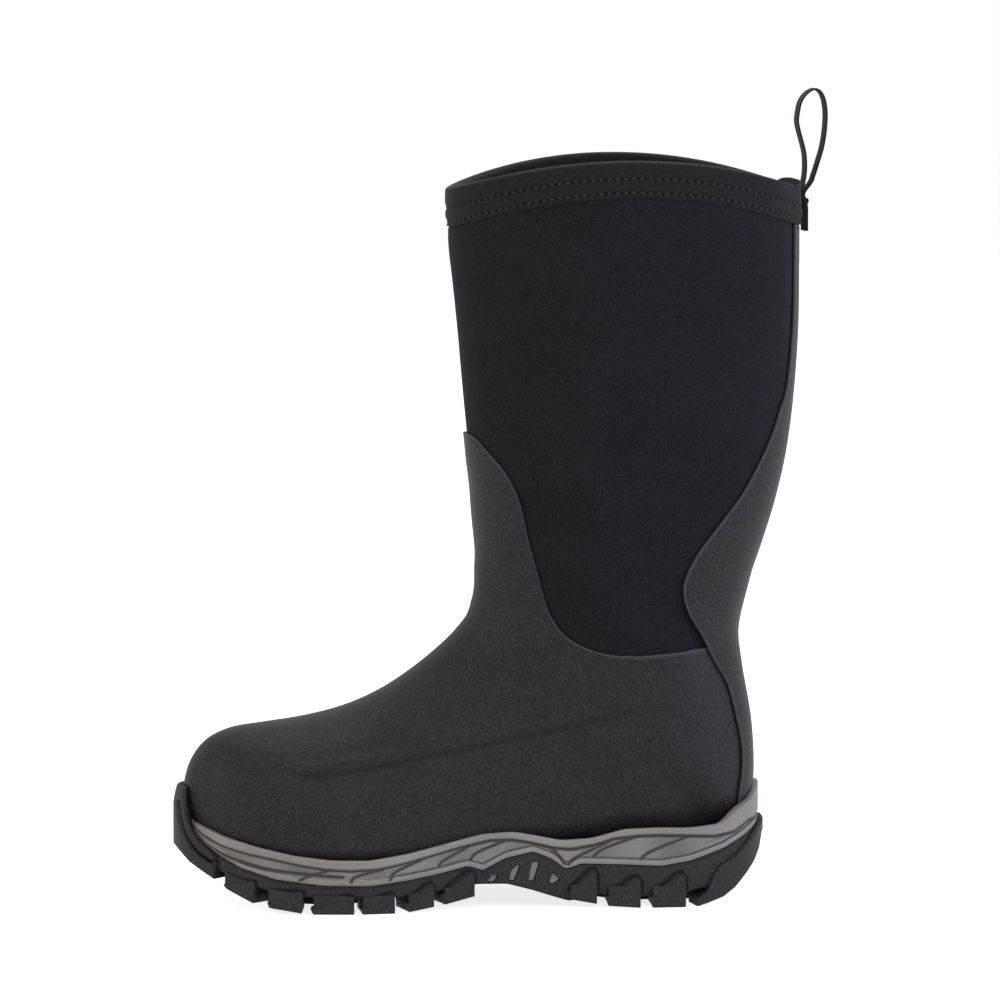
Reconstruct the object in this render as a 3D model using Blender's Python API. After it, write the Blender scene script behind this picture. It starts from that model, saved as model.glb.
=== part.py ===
"""A child's pull-on winter boot, right foot.

Metres, +Z up. The toe points to -X, the medial (inner) side to -Y. The origin is on the ground below the
middle of the boot's length, from the toe bumper to the pull loop.

The boot is drawn like a last: rings of points fan from the toe, round the instep and heel, and up the
shaft. Every layer of the upper is the same set of rings moved out or in along the skin's normals, so the
layers nest with a named clearance between them. The skin is the outer face of the neoprene.
"""
import math

import bmesh
import bpy
import numpy as np
from mathutils import Vector
from mathutils.bvhtree import BVHTree

# Overall sizes
SOLE_LENGTH = 0.2360  # toe bumper to the back of the heel
TOE_X = -0.1312  # front of the toe bumper
BALL_WIDTH = 0.0880  # midsole, at the ball of the foot
HEEL_WIDTH = 0.0700  # midsole, at the heel
SOLE_HEIGHT = 0.0320  # ground to the midsole's top edge beside the heel
COLLAR_HEIGHT = 0.2970  # ground to the top of the collar at its sides
COLLAR_WIDTH = 0.0910  # skin, across the top of the shaft
COLLAR_DIP = 0.0125  # how far the collar drops from its sides to its front and back
LATERAL_RISE = 0.0015  # the collar's outer side stands this much above its inner side
BINDING_HEIGHT = 0.0150

# Layers, from the skin outwards and inwards
CLEARANCE = 0.0003  # between neighbouring pieces
OVERLAY = 0.0012  # moulded rubber overlays
COUNTER = 0.0012  # heel counter
NEOPRENE = 0.0040
LINING = 0.0015
PUFF = 0.0010  # toe puff
SEAM_TAPE = 0.0006
BOARD = 0.0012  # insole board
SHANK = 0.0010
SHANK_WIDTH = 0.0140
UNDERLAY = 0.0015
FOOTBED = 0.0035
FOOTBED_COVER = 0.0008
FOOTBED_SIDE_ROOM = 0.0030
FOOTBED_LEVEL = 0.0070  # height above the cavity's floor where its width is taken
LOOK_DOWN = 0.0210  # height inside the cavity from which its floor is found
BINDING_SQUEEZE = 0.0011  # how far the binding presses the neoprene in
BINDING = 0.0015  # binding fabric, doubled
THREAD = 0.0007

# Sole
MIDSOLE_LIP = 0.0025  # midsole edge outside the upper
RUBBER_RIM = 0.0028  # outsole wall round the midsole's foot
RUBBER_BASE = 0.0030
BUMPER = 0.0033  # toe bumper, ahead of the midsole
LUG_PROUD = 0.0020  # lug faces outside the sole's wall
LUG_CHAMFER = 0.0007  # the face of a lug stands this much clear of its tread
LUG_ROOT = 0.0010  # lugs into the base plate
LUG_REACH = 0.0180  # lugs inwards from the edge
LEDGE = 0.0015  # least height of the midsole's side
PLUG_LAP = 0.0008  # the midsole's plug into its wall
BAND = 0.0013  # heel band outside the sole's outline
TOE_BAND = 0.0012  # the bumper's rear end outside the sole's outline
BAND_DROP = 0.0020  # heel band's top below the parting line
FACE_DROP = 0.0004  # toe bumper's cut below the parting line
TOE_CAP = 0.026  # share of the sole ahead of the midsole
CENTRE_LUG = 0.0260  # length of the bars down the middle
CENTRE_LUG_STEP = 0.0120

# Tools that only cut
FAR = 0.1500  # beyond the boot on every side
HALF_WAY = 0.1500  # above the foot
HOLLOW_TOP = 0.0800  # above the sole
CUTTER_LAP = 0.0040  # outside the face it cuts
MIN_HALF = 0.0040  # least half width of a ring or a bar

# Pull loop
WEBBING = 0.0008
LOOP_HEIGHT = 0.0404
LOOP_WIDTH = 0.0140
LOOP_WEB_WIDTH = 0.0120

# Feather line of the upper inside the sole's outline, at the ball and at the heel
BALL_MARGIN = MIDSOLE_LIP + CLEARANCE + OVERLAY + CLEARANCE
HEEL_MARGIN = MIDSOLE_LIP + CLEARANCE + OVERLAY + CLEARANCE + COUNTER + CLEARANCE

COLUMNS = 24  # points round each ring; 0 is the front or top, COLUMNS / 2 the back or bottom
BACK = COLUMNS // 2
FOLD_RING = 26  # ring at the binding's lower edge

# Rings of the foot: front x, front z, sole x, sole z, bulge over the feather line, depth of the widest
# point, roundness of the top, squareness of the bottom. x in sole lengths from the toe, front z in collar
# heights, sole z in sole heights.
FOOT_RINGS = (
    (0.022, 0.158, 0.027, 1.140, 1.00, 0.50, 2.0, 2.0),
    (0.033, 0.190, 0.038, 1.015, 1.00, 0.56, 2.0, 2.6),
    (0.058, 0.217, 0.064, 0.875, 1.00, 0.62, 2.1, 3.4),
    (0.098, 0.232, 0.102, 0.738, 1.01, 0.66, 2.2, 4.2),
    (0.150, 0.238, 0.153, 0.625, 1.01, 0.68, 2.2, 4.8),
    (0.225, 0.246, 0.225, 0.550, 1.01, 0.69, 2.1, 5.0),
    (0.297, 0.260, 0.302, 0.528, 1.01, 0.70, 2.0, 5.0),
    (0.363, 0.283, 0.378, 0.531, 1.01, 0.71, 2.0, 5.0),
    (0.425, 0.316, 0.463, 0.581, 1.01, 0.71, 2.0, 5.0),
    (0.469, 0.347, 0.556, 0.662, 1.02, 0.70, 2.0, 4.8),
    (0.500, 0.377, 0.649, 0.738, 1.03, 0.68, 2.0, 4.6),
    (0.513, 0.404, 0.747, 0.788, 1.05, 0.65, 2.0, 4.2),
    (0.517, 0.429, 0.844, 0.812, 1.11, 0.62, 2.0, 3.8),
    (0.518, 0.448, 0.912, 0.853, 1.27, 0.59, 2.0, 3.4),
)
# Rings of the heel and shaft: front x, front z, back x, back z, width in collar widths, narrowing towards
# the heel, depth of the widest point, roundness of the front, squareness of the back. x in sole lengths,
# z in collar heights.
SHAFT_RINGS = (
    (0.519, 0.465, 0.952, 0.115, 0.745, 0.08, 0.56, 2.0, 2.9),
    (0.518, 0.481, 0.969, 0.158, 0.755, 0.07, 0.54, 2.0, 2.6),
    (0.515, 0.505, 0.9725, 0.236, 0.770, 0.05, 0.52, 2.0, 2.4),
    (0.512, 0.532, 0.956, 0.316, 0.790, 0.03, 0.50, 2.0, 2.2),
    (0.5095, 0.559, 0.951, 0.370, 0.815, 0.00, 0.50, 2.0, 2.1),
    (0.504, 0.596, 0.973, 0.428, 0.845, 0.00, 0.50, 2.0, 2.1),
    (0.499, 0.636, 0.9975, 0.485, 0.875, 0.00, 0.50, 2.0, 2.1),
    (0.494, 0.677, 1.0195, 0.542, 0.905, 0.00, 0.50, 2.0, 2.1),
    (0.489, 0.721, 1.038, 0.609, 0.935, 0.00, 0.50, 2.0, 2.1),
    (0.4835, 0.771, 1.050, 0.687, 0.960, 0.00, 0.50, 2.0, 2.1),
    (0.4765, 0.825, 1.057, 0.774, 0.980, 0.00, 0.50, 2.0, 2.1),
    (0.4690, 0.879, 1.058, 0.862, 0.995, 0.00, 0.50, 2.0, 2.1),
)
# Sole outline: x in sole lengths, y in local half widths, medial side then lateral side, toe to heel
MEDIAL_EDGE = (
    (0.033, -0.475), (0.069, -0.70), (0.119, -0.87), (0.183, -0.965), (0.259, -1.00), (0.336, -0.985),
    (0.420, -0.90), (0.513, -0.83), (0.619, -0.88), (0.725, -0.98), (0.819, -1.00), (0.895, -0.945),
    (0.950, -0.77), (0.984, -0.43),
)
LATERAL_EDGE = (
    (0.033, 0.115), (0.064, 0.31), (0.115, 0.55), (0.183, 0.75), (0.268, 0.915), (0.361, 1.00),
    (0.463, 1.00), (0.577, 1.00), (0.683, 1.03), (0.768, 1.02), (0.827, 1.00), (0.895, 0.945),
    (0.950, 0.77), (0.984, 0.43),
)
TOE_POINT = (0.018, -0.18)
HEEL_POINT = (0.997, 0.0)
# Heights along the sole: x in sole lengths, z in sole heights
MIDSOLE_TOP = (
    (0.018, 1.10), (0.078, 0.93), (0.132, 0.825), (0.194, 0.725), (0.258, 0.666), (0.322, 0.656),
    (0.388, 0.725), (0.441, 0.813), (0.514, 0.940), (0.567, 0.960), (0.608, 0.903), (0.647, 0.844),
    (0.699, 0.869), (0.753, 0.978), (0.809, 0.994), (0.864, 0.985), (0.920, 1.02), (0.951, 1.19),
    (0.981, 1.30), (0.997, 1.49),
)
PARTING = (
    (0.000, 1.453), (0.012, 1.453), (0.020, 1.22), (0.025, 1.053), (0.037, 0.878), (0.068, 0.713),
    (0.106, 0.556), (0.163, 0.425), (0.243, 0.347), (0.322, 0.334), (0.388, 0.391), (0.441, 0.459),
    (0.489, 0.541), (0.514, 0.481), (0.552, 0.625), (0.599, 0.700), (0.629, 0.616), (0.655, 0.478),
    (0.680, 0.544), (0.753, 0.528), (0.815, 0.506), (0.864, 0.562), (0.923, 0.703), (0.967, 0.859),
    (0.997, 0.978),
)
TREAD = (
    (0.000, 0.813), (0.022, 0.641), (0.060, 0.459), (0.107, 0.281), (0.141, 0.197), (0.175, 0.119),
    (0.213, 0.059), (0.251, 0.013), (0.276, 0.000), (0.369, 0.000), (0.395, 0.016), (0.429, 0.063),
    (0.463, 0.106), (0.505, 0.188), (0.556, 0.250), (0.607, 0.219), (0.662, 0.113), (0.704, 0.056),
    (0.738, 0.013), (0.768, 0.000), (0.895, 0.000), (0.926, 0.041), (0.947, 0.144), (0.964, 0.281),
    (0.982, 0.438), (0.993, 0.625), (1.000, 0.831),
)
UNDERSIDE = (
    (0.000, 0.844), (0.022, 0.703), (0.060, 0.547), (0.107, 0.391), (0.141, 0.313), (0.175, 0.259),
    (0.213, 0.219), (0.251, 0.194), (0.369, 0.194), (0.429, 0.234), (0.463, 0.281), (0.505, 0.319),
    (0.556, 0.313), (0.607, 0.288), (0.662, 0.269), (0.738, 0.238), (0.895, 0.234), (0.937, 0.297),
    (0.967, 0.469), (0.988, 0.688), (0.997, 0.875),
)
BUMPER_TOP = (
    (0.000, 1.490), (0.008, 1.520), (0.014, 1.480), (0.022, 1.180), (0.030, 0.990), (0.043, 0.860),
    (0.058, 0.730), (0.070, 0.600),
)
# Lugs along both edges: front x, back x, in sole lengths, and the top of the face in sole heights
EDGE_LUGS = (
    (0.085, 0.132, 0.455), (0.149, 0.211, 0.300), (0.222, 0.297, 0.235), (0.305, 0.364, 0.260),
    (0.383, 0.430, 0.365), (0.443, 0.500, 0.500), (0.660, 0.708, 0.500), (0.722, 0.782, 0.400),
    (0.797, 0.858, 0.440),
)
CENTRE_LUGS = (0.100, 0.160, 0.215, 0.270, 0.325, 0.380, 0.435, 0.700, 0.755, 0.810, 0.860)
# Windows in the rim under the arch: middle x, width, in sole lengths, low z, high z in sole heights
ARCH_WINDOWS = (
    (0.530, 0.014, 0.35, 0.47), (0.570, 0.017, 0.36, 0.58), (0.606, 0.019, 0.35, 0.60),
    (0.637, 0.013, 0.33, 0.44),
)
# Side view of the overlays' edges: x in sole lengths, z in collar heights
VAMP_EDGE = (
    (0.420, 0.632), (0.496, 0.629), (0.526, 0.607), (0.552, 0.583), (0.572, 0.553), (0.586, 0.520),
    (0.596, 0.483), (0.604, 0.450), (0.617, 0.410), (0.638, 0.377), (0.666, 0.356), (0.709, 0.342),
    (0.760, 0.337), (0.846, 0.341), (0.900, 0.345),
)
HEEL_EDGE = (
    (1.0532, 0.920), (1.0528, 0.862), (1.0505, 0.774), (1.040, 0.694), (1.026, 0.662),
    (1.014, 0.634), (0.990, 0.595), (0.961, 0.555), (0.930, 0.523), (0.890, 0.484), (0.869, 0.458),
    (0.855, 0.428), (0.862, 0.395), (0.886, 0.362), (0.908, 0.327), (0.931, 0.296), (0.944, 0.261),
    (0.957, 0.213), (0.958, 0.178), (0.952, 0.140), (0.952, 0.094),
)
WING_LAP = 0.0008  # vamp overlay under the heel overlay's edge
STAY_DOWN = 0.1100  # height where the heel overlay starts to close on the neoprene
COUNTER_TOP = 0.0120  # the counter's top below STAY_DOWN
STAY_UP = 0.1350  # height where it lies on the neoprene


def along(fraction):
    """World x of a place along the sole."""
    return TOE_X + fraction * SOLE_LENGTH


def height_at(profile, x, low=0.0):
    """Height of a sole profile at x."""
    stations = [along(row[0]) for row in profile]
    heights = [row[1] * SOLE_HEIGHT for row in profile]
    return float(np.interp(x, stations, heights)) + low


def ease(value):
    """Smooth step from 0 to 1."""
    value = min(max(value, 0.0), 1.0)
    return value * value * (3.0 - 2.0 * value)


# ------------------------------------------------------------------ meshes and objects
def make_object(name, verts, faces, material):
    mesh = bpy.data.meshes.new(name)
    mesh.from_pydata([tuple(v) for v in verts], [], faces)
    solid = bmesh.new()
    solid.from_mesh(mesh)
    bmesh.ops.recalc_face_normals(solid, faces=solid.faces)
    if solid.calc_volume(signed=True) < 0:
        bmesh.ops.reverse_faces(solid, faces=solid.faces)
    solid.to_mesh(mesh)
    solid.free()
    item = bpy.data.objects.new(name, mesh)
    bpy.context.scene.collection.objects.link(item)
    if material is None:
        item.hide_render = True
        item.display_type = "WIRE"
    else:
        mesh.materials.append(material)
    return item


def boolean(item, other, operation, overlapping=False):
    """Cut or join with the exact solver; overlapping is for a tool whose solids cross each other."""
    step = item.modifiers.new(operation.title(), "BOOLEAN")
    step.operation = operation
    step.object = other
    step.use_self = overlapping


def plastic(name, colour, roughness, metallic=0.0):
    """A Principled BSDF from an sRGB hex colour."""
    material = bpy.data.materials.new(name)
    material.use_nodes = True
    channels = [int(colour[i:i + 2], 16) / 255 for i in (0, 2, 4)]
    linear = [c / 12.92 if c <= 0.04045 else ((c + 0.055) / 1.055) ** 2.4 for c in channels]
    shader = material.node_tree.nodes["Principled BSDF"]
    shader.inputs["Base Color"].default_value = (*linear, 1.0)
    shader.inputs["Roughness"].default_value = roughness
    shader.inputs["Metallic"].default_value = metallic
    return material


def bridge(first, second):
    """Triangles between two loops of point numbers, always cut along the same diagonal."""
    faces = []
    for i in range(len(first) - 1):
        faces.append((first[i], first[i + 1], second[i + 1]))
        faces.append((first[i], second[i + 1], second[i]))
    return faces


# ------------------------------------------------------------------ sole outline
def smooth_outline(points, steps=12):
    """A closed Catmull-Rom curve through points."""
    points = np.array(points)
    count = len(points)
    curve = []
    for i in range(count):
        a, b, c, d = (points[(i + k) % count] for k in (-1, 0, 1, 2))
        for k in range(steps):
            t = k / steps
            curve.append(0.5 * (2 * b + (c - a) * t + (2 * a - 5 * b + 4 * c - d) * t ** 2
                                + (3 * b - a - 3 * c + d) * t ** 3))
    return np.array(curve)


def half_width(fraction):
    """Local half width of the sole, from the ball's to the heel's."""
    return 0.5 * (BALL_WIDTH + (HEEL_WIDTH - BALL_WIDTH) * ease((fraction - 0.45) / 0.30))


def sole_outline(offset=0.0, toe=0.0):
    """The sole's outline, moved out by offset and by toe more at the very front."""
    table = [TOE_POINT, *LATERAL_EDGE, HEEL_POINT, *reversed(MEDIAL_EDGE)]
    curve = smooth_outline([(along(fx), fy * half_width(fx)) for fx, fy in table])
    ahead = np.roll(curve, -1, axis=0) - np.roll(curve, 1, axis=0)
    outward = np.stack([-ahead[:, 1], ahead[:, 0]], axis=1)
    outward /= np.linalg.norm(outward, axis=1)[:, None]
    reach = offset + toe * np.clip((along(0.085) - curve[:, 0]) / (0.067 * SOLE_LENGTH), 0, 1) ** 0.7
    return curve + outward * reach[:, None]


def edges_at(outline, x):
    """Medial and lateral y of an outline at x."""
    first = int(np.argmin(outline[:, 0]))
    rolled = np.roll(outline, -first, axis=0)
    last = int(np.argmax(rolled[:, 0]))
    lateral = rolled[:last + 1]
    medial = np.vstack([rolled[last:], rolled[:1]])[::-1]
    return (float(np.interp(x, medial[:, 0], medial[:, 1])), float(np.interp(x, lateral[:, 0], lateral[:, 1])))


def sole_stations(count=26):
    """x places shared by all the sole's blocks: close together at its ends, and one at each height."""
    reach = SOLE_LENGTH / 2
    places = [TOE_X + reach - reach * math.cos(math.pi * i / (count - 1)) for i in range(count)]
    places += [along(row[0]) for row in PARTING + MIDSOLE_TOP]
    return sorted(places)


STATIONS = sole_stations()
STATION_STEP = 0.0016  # least distance between two stations
END_INSET = 0.00025  # a block's first section, behind its outline's tip


def block(outline, low, high, start=-1.0, end=1.0):
    """Solid between two height profiles, inside an outline."""
    start = max(start, outline[:, 0].min() + END_INSET)
    end = min(end, outline[:, 0].max() - END_INSET)
    places = [start]
    for x in STATIONS:
        if x - places[-1] > STATION_STEP and end - x > STATION_STEP:
            places.append(x)
    places.append(end)
    verts = []
    faces = []
    for x in places:
        medial, lateral = edges_at(outline, x)
        verts += [(x, medial, low(x)), (x, lateral, low(x)), (x, lateral, high(x)), (x, medial, high(x))]
    for i in range(len(places) - 1):
        first = [4 * i + k for k in (0, 1, 2, 3, 0)]
        second = [n + 4 for n in first]
        faces += bridge(first, second)
    faces += [(0, 1, 2, 3), tuple(4 * (len(places) - 1) + k for k in (3, 2, 1, 0))]
    return verts, faces


# ------------------------------------------------------------------ the last's rings
def section(front, back, centre, width, narrow, widest, top_power, bottom_power, rise):
    """One ring: front or top point first, then round the lateral side and back.

    rise lifts the medial and the lateral side.
    """
    ring = []
    for column in range(COLUMNS):
        angle = 2 * math.pi * column / COLUMNS
        across = abs(math.sin(angle))
        depth = abs(math.cos(angle))
        if math.cos(angle) >= 0:
            side = across ** (2 / top_power)
            down = widest * (1 - depth ** (2 / top_power))
        else:
            lower = depth ** (2 / bottom_power)
            side = across ** (2 / bottom_power) * (1 - narrow * lower)
            down = widest + (1 - widest) * lower
        sign = 1.0 if math.sin(angle) >= 0 else -1.0
        point = front + (back - front) * down
        point.y = centre + sign * width * side
        point.z += rise[sign > 0] * side * side
        ring.append(point)
    return ring


def last_rings():
    """Skin points, ring by ring, from the toe to the rim."""
    outline = sole_outline()
    rings = []
    for fx, fz, sx, sz, bulge, widest, top_power, bottom_power in FOOT_RINGS:
        medial, lateral = edges_at(outline, along(sx))
        margin = BALL_MARGIN + (HEEL_MARGIN - BALL_MARGIN) * ease((sx - 0.6) / 0.2)
        width = max((lateral - medial) / 2 - margin, MIN_HALF)
        rings.append(section(Vector((along(fx), 0, fz * COLLAR_HEIGHT)),
                             Vector((along(sx), 0, sz * SOLE_HEIGHT)), (medial + lateral) / 2,
                             width * bulge, 1 - 1 / bulge, widest, top_power, bottom_power, (0, 0)))
    foot = rings[-1]
    centre = (foot[COLUMNS // 4].y + foot[3 * COLUMNS // 4].y) / 2
    for number, row in enumerate(SHAFT_RINGS):
        fx, fz, bx, bz, share, narrow, widest, top_power, bottom_power = row
        climb = ease((number - 3) / (len(SHAFT_RINGS) - 4))
        rings.append(section(Vector((along(fx), 0, fz * COLLAR_HEIGHT)),
                             Vector((along(bx), 0, bz * COLLAR_HEIGHT)), centre * (1 - climb),
                             share * COLLAR_WIDTH / 2, narrow, widest, top_power, bottom_power,
                             (COLLAR_DIP * climb, (COLLAR_DIP + LATERAL_RISE) * climb)))
    top = section(Vector((along(0.466), 0, COLLAR_HEIGHT - COLLAR_DIP)),
                  Vector((along(1.058), 0, COLLAR_HEIGHT - COLLAR_DIP)), 0.0, COLLAR_WIDTH / 2, 0.0, 0.5,
                  2.0, 2.1, (COLLAR_DIP, COLLAR_DIP + LATERAL_RISE))
    fold = [point - (point - below).normalized() * BINDING_HEIGHT for point, below in zip(top, rings[-1])]
    rings.append(fold)
    rings.append(top)
    return np.array([[tuple(point) for point in ring] for ring in rings])


def ring_normals(rings):
    """Outward directions at the skin's points."""
    ahead = np.gradient(rings, axis=0)
    round_ring = np.roll(rings, -1, axis=1) - np.roll(rings, 1, axis=1)
    normals = np.cross(round_ring, ahead)
    normals /= np.linalg.norm(normals, axis=2)[:, :, None]
    outward = rings - rings.mean(axis=1)[:, None, :]
    if (normals * outward).sum() < 0:
        normals = -normals
    return normals


RINGS = last_rings()
NORMALS = ring_normals(RINGS)
TOE_ROUND = 0.0012  # the toe's closing point ahead of the first ring
TOE_STEP = 0.0010  # the same, less, for a layer that starts a ring later
TOE_POLE = RINGS[0].mean(axis=0) - np.array((TOE_ROUND, 0.0, 0.0))


def skin(ring, column, offset):
    """Point at a place on the skin, moved out by offset, a length or a function of the skin point."""
    r0 = min(int(ring), len(RINGS) - 2)
    c0 = int(math.floor(column))
    t, u = ring - r0, column - c0
    picks = ((r0, c0, (1 - t) * (1 - u)), (r0, c0 + 1, (1 - t) * u),
             (r0 + 1, c0, t * (1 - u)), (r0 + 1, c0 + 1, t * u))
    place = sum(w * RINGS[r][c % COLUMNS] for r, c, w in picks)
    normal = sum(w * NORMALS[r][c % COLUMNS] for r, c, w in picks)
    distance = offset(place) if callable(offset) else offset
    return place + normal / np.linalg.norm(normal) * distance


def tip(offset, first_ring):
    """The closing point of a layer at the toe."""
    distance = offset(TOE_POLE) if callable(offset) else offset
    inset = 0.0 if first_ring == 0 else TOE_STEP
    return TOE_POLE + np.array((inset - distance, 0.0, 0.0))


def layer(outer, inner, rings, closed_toe=False, inner_rings=None):
    """A tube or, with a closed toe, a sock between two offsets of the skin."""
    inner_rings = inner_rings or rings
    verts = []
    loops = []
    for ring_list, offset in ((rings, outer), (inner_rings, inner)):
        side = []
        for ring in ring_list:
            side.append(list(range(len(verts), len(verts) + COLUMNS)))
            verts += [skin(ring, column, offset) for column in range(COLUMNS)]
        loops.append([ring + ring[:1] for ring in side])
    faces = []
    for side in loops:
        for first, second in zip(side[:-1], side[1:]):
            faces += bridge(first, second)
    faces += bridge(loops[0][-1], loops[1][-1])
    if closed_toe:
        for side, offset, first_ring in ((loops[0], outer, rings[0]), (loops[1], inner, inner_rings[0])):
            verts.append(tip(offset, first_ring))
            faces += [(side[0][i], side[0][i + 1], len(verts) - 1) for i in range(COLUMNS)]
    else:
        faces += bridge(loops[0][0], loops[1][0])
    return verts, faces


def sheet(outer, inner, rings, columns, closed_toe=False):
    """A patch with thickness: rings by columns, between two offsets; at a closed toe it meets a tip."""
    verts = []
    grids = []
    for offset in (outer, inner):
        grid = []
        if closed_toe:
            verts.append(tip(offset, rings[0]))
            grid.append([len(verts) - 1] * len(columns))
        for ring in rings:
            grid.append(list(range(len(verts), len(verts) + len(columns))))
            verts += [skin(ring, column, offset) for column in columns]
        grids.append(grid)
    faces = []
    for grid in grids:
        for first, second in zip(grid[:-1], grid[1:]):
            faces += bridge(first, second)
    out, into = grids
    border = [row[0] for row in out] + out[-1][1:-1] + [row[-1] for row in reversed(out)]
    border_in = [row[0] for row in into] + into[-1][1:-1] + [row[-1] for row in reversed(into)]
    if closed_toe:
        border.pop()
        border_in.pop()
    else:
        border += list(reversed(out[0][1:-1]))
        border_in += list(reversed(into[0][1:-1]))
    faces += bridge(border + border[:1], border_in + border_in[:1])
    return verts, [face for face in faces if len(set(face)) == 3]


def closed_last(offset, top_ring):
    """The foot's whole form as one solid, for cutting its seat out of the sole."""
    rings = range(top_ring + 1)
    verts = [skin(ring, column, offset) for ring in rings for column in range(COLUMNS)]
    faces = []
    for ring in range(top_ring):
        first = [ring * COLUMNS + c % COLUMNS for c in range(COLUMNS + 1)]
        faces += bridge(first, [n + COLUMNS for n in first])
    verts.append(tip(offset, 0))
    faces += [(c, (c + 1) % COLUMNS, len(verts) - 1) for c in range(COLUMNS)]
    faces.append(tuple(top_ring * COLUMNS + c for c in reversed(range(COLUMNS))))
    return verts, faces


def side_prism(points, reach=0.09):
    """A side-view outline drawn out to both sides."""
    count = len(points)
    verts = [(x, -reach, z) for x, z in points] + [(x, reach, z) for x, z in points]
    faces = [tuple(range(count)), tuple(range(2 * count - 1, count - 1, -1))]
    faces += [(i, i + count, (i + 1) % count + count, (i + 1) % count) for i in range(count)]
    return verts, faces


def edge_points(table):
    return [(along(fx), fz * COLLAR_HEIGHT) for fx, fz in table]


# ------------------------------------------------------------------ layer offsets
def vamp_inner(place):
    return CLEARANCE


def vamp_outer(place):
    return CLEARANCE + OVERLAY


def stay_gap(place):
    """Inner face of the heel overlay: over the counter low down, on the neoprene higher up."""
    over = 2 * CLEARANCE + COUNTER
    return over + (CLEARANCE - over) * ease((place[2] - STAY_DOWN) / (STAY_UP - STAY_DOWN))


def stay_face(place):
    return stay_gap(place) + OVERLAY


def lining_outer(place):
    """The lining lies inside the neoprene, and inside the toe puff at the toe."""
    puff = (CLEARANCE + PUFF) * ease((along(0.30) - place[0]) / (0.12 * SOLE_LENGTH))
    return -(NEOPRENE + CLEARANCE + puff)


def lining_inner(place):
    return lining_outer(place) - LINING


def squeezed(offset):
    """The same layer inside the binding, pressed thinner from outside."""
    def pressed(place):
        distance = offset(place) if callable(offset) else offset
        return distance - BINDING_SQUEEZE * max(0.0, 1 + distance / NEOPRENE)
    return pressed


HEEL_CUP = 3 * CLEARANCE + COUNTER + OVERLAY
BALL_CUP = 2 * CLEARANCE + OVERLAY


# ------------------------------------------------------------------ sole
def sole_floor(x):
    """Top of the outsole's base plate."""
    return height_at(UNDERSIDE, x) + RUBBER_BASE


def bottom_line(x):
    """Lowest line of the skin."""
    line = RINGS[:len(FOOT_RINGS), BACK]
    return float(np.interp(x, line[:, 0], line[:, 2]))


def foot_cutters():
    """The seats of the upper in the sole: the whole foot, and wider round the heel overlay."""
    foot = make_object("foot_seat", *closed_last(BALL_CUP, 19), None)
    heel = make_object("heel_seat", *closed_last(HEEL_CUP, 19), None)
    low = HEEL_EDGE[-1][1] * COLLAR_HEIGHT - CLEARANCE
    front = along(0.80)
    corners = [(front, low), (front, HALF_WAY), (FAR, HALF_WAY), (FAR, low)]
    zone = make_object("heel_seat_zone", *side_prism(corners), None)
    boolean(heel, zone, "INTERSECT")
    return foot, heel


def shank_strip(extra, above, below):
    """The shank's solid, or its pocket, under the insole board."""
    verts = []
    faces = []
    start, end = along(0.43), along(0.80)
    count = 10
    places = [start - extra + (end - start + 2 * extra) * i / (count - 1) for i in range(count)]
    reach = SHANK_WIDTH / 2 + extra
    outline = sole_outline()
    for x in places:
        middle = sum(edges_at(outline, x)) / 2
        top = bottom_line(x) - above
        low = bottom_line(x) - below
        verts += [(x, middle - reach, low), (x, middle + reach, low), (x, middle + reach, top),
                  (x, middle - reach, top)]
    for i in range(count - 1):
        first = [4 * i + k for k in (0, 1, 2, 3, 0)]
        faces += bridge(first, [n + 4 for n in first])
    faces += [(0, 1, 2, 3), tuple(4 * (count - 1) + k for k in (3, 2, 1, 0))]
    return verts, faces


def make_midsole(material, seats):
    upper = block(sole_outline(), lambda x: height_at(PARTING, x, CLEARANCE),
                  lambda x: max(height_at(MIDSOLE_TOP, x), height_at(PARTING, x, LEDGE)),
                  start=along(TOE_CAP))
    midsole = make_object("midsole", *upper, material)
    plug = block(sole_outline(-RUBBER_RIM - CLEARANCE), lambda x: sole_floor(x) + CLEARANCE,
                 lambda x: height_at(PARTING, x, PLUG_LAP), start=along(TOE_CAP))
    boolean(midsole, make_object("midsole_plug", *plug, None), "UNION")
    for seat in seats:
        boolean(midsole, seat, "DIFFERENCE")
    top = CLEARANCE + BOARD + CLEARANCE
    pocket = shank_strip(CLEARANCE, top - SHANK, top + SHANK + CLEARANCE)
    boolean(midsole, make_object("shank_pocket", *pocket, None), "DIFFERENCE")


def lug_frame(outline, x_front, x_back, side):
    """Places of a lug's front and back at the sole's edge, and the outward direction between them."""
    front = Vector((x_front, edges_at(outline, x_front)[side]))
    back = Vector((x_back, edges_at(outline, x_back)[side]))
    run = (back - front).normalized()
    outward = Vector((-run.y, run.x)) if side else Vector((run.y, -run.x))
    return front, back, outward


def prism_between(near, far, heights_near, heights_far=None):
    """A solid between two upright polygons given as plan points with heights."""
    heights_far = heights_far or heights_near
    count = len(near)
    verts = [(p.x, p.y, z) for p, z in zip(near, heights_near)]
    verts += [(p.x, p.y, z) for p, z in zip(far, heights_far)]
    faces = [tuple(range(count)), tuple(range(2 * count - 1, count - 1, -1))]
    faces += [(i, i + count, (i + 1) % count + count, (i + 1) % count) for i in range(count)]
    return verts, faces


def join_parts(parts):
    """Several closed meshes as one list of points and faces."""
    verts = []
    faces = []
    for part_verts, part_faces in parts:
        start = len(verts)
        verts += list(part_verts)
        faces += [tuple(n + start for n in face) for face in part_faces]
    return verts, faces


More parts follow.
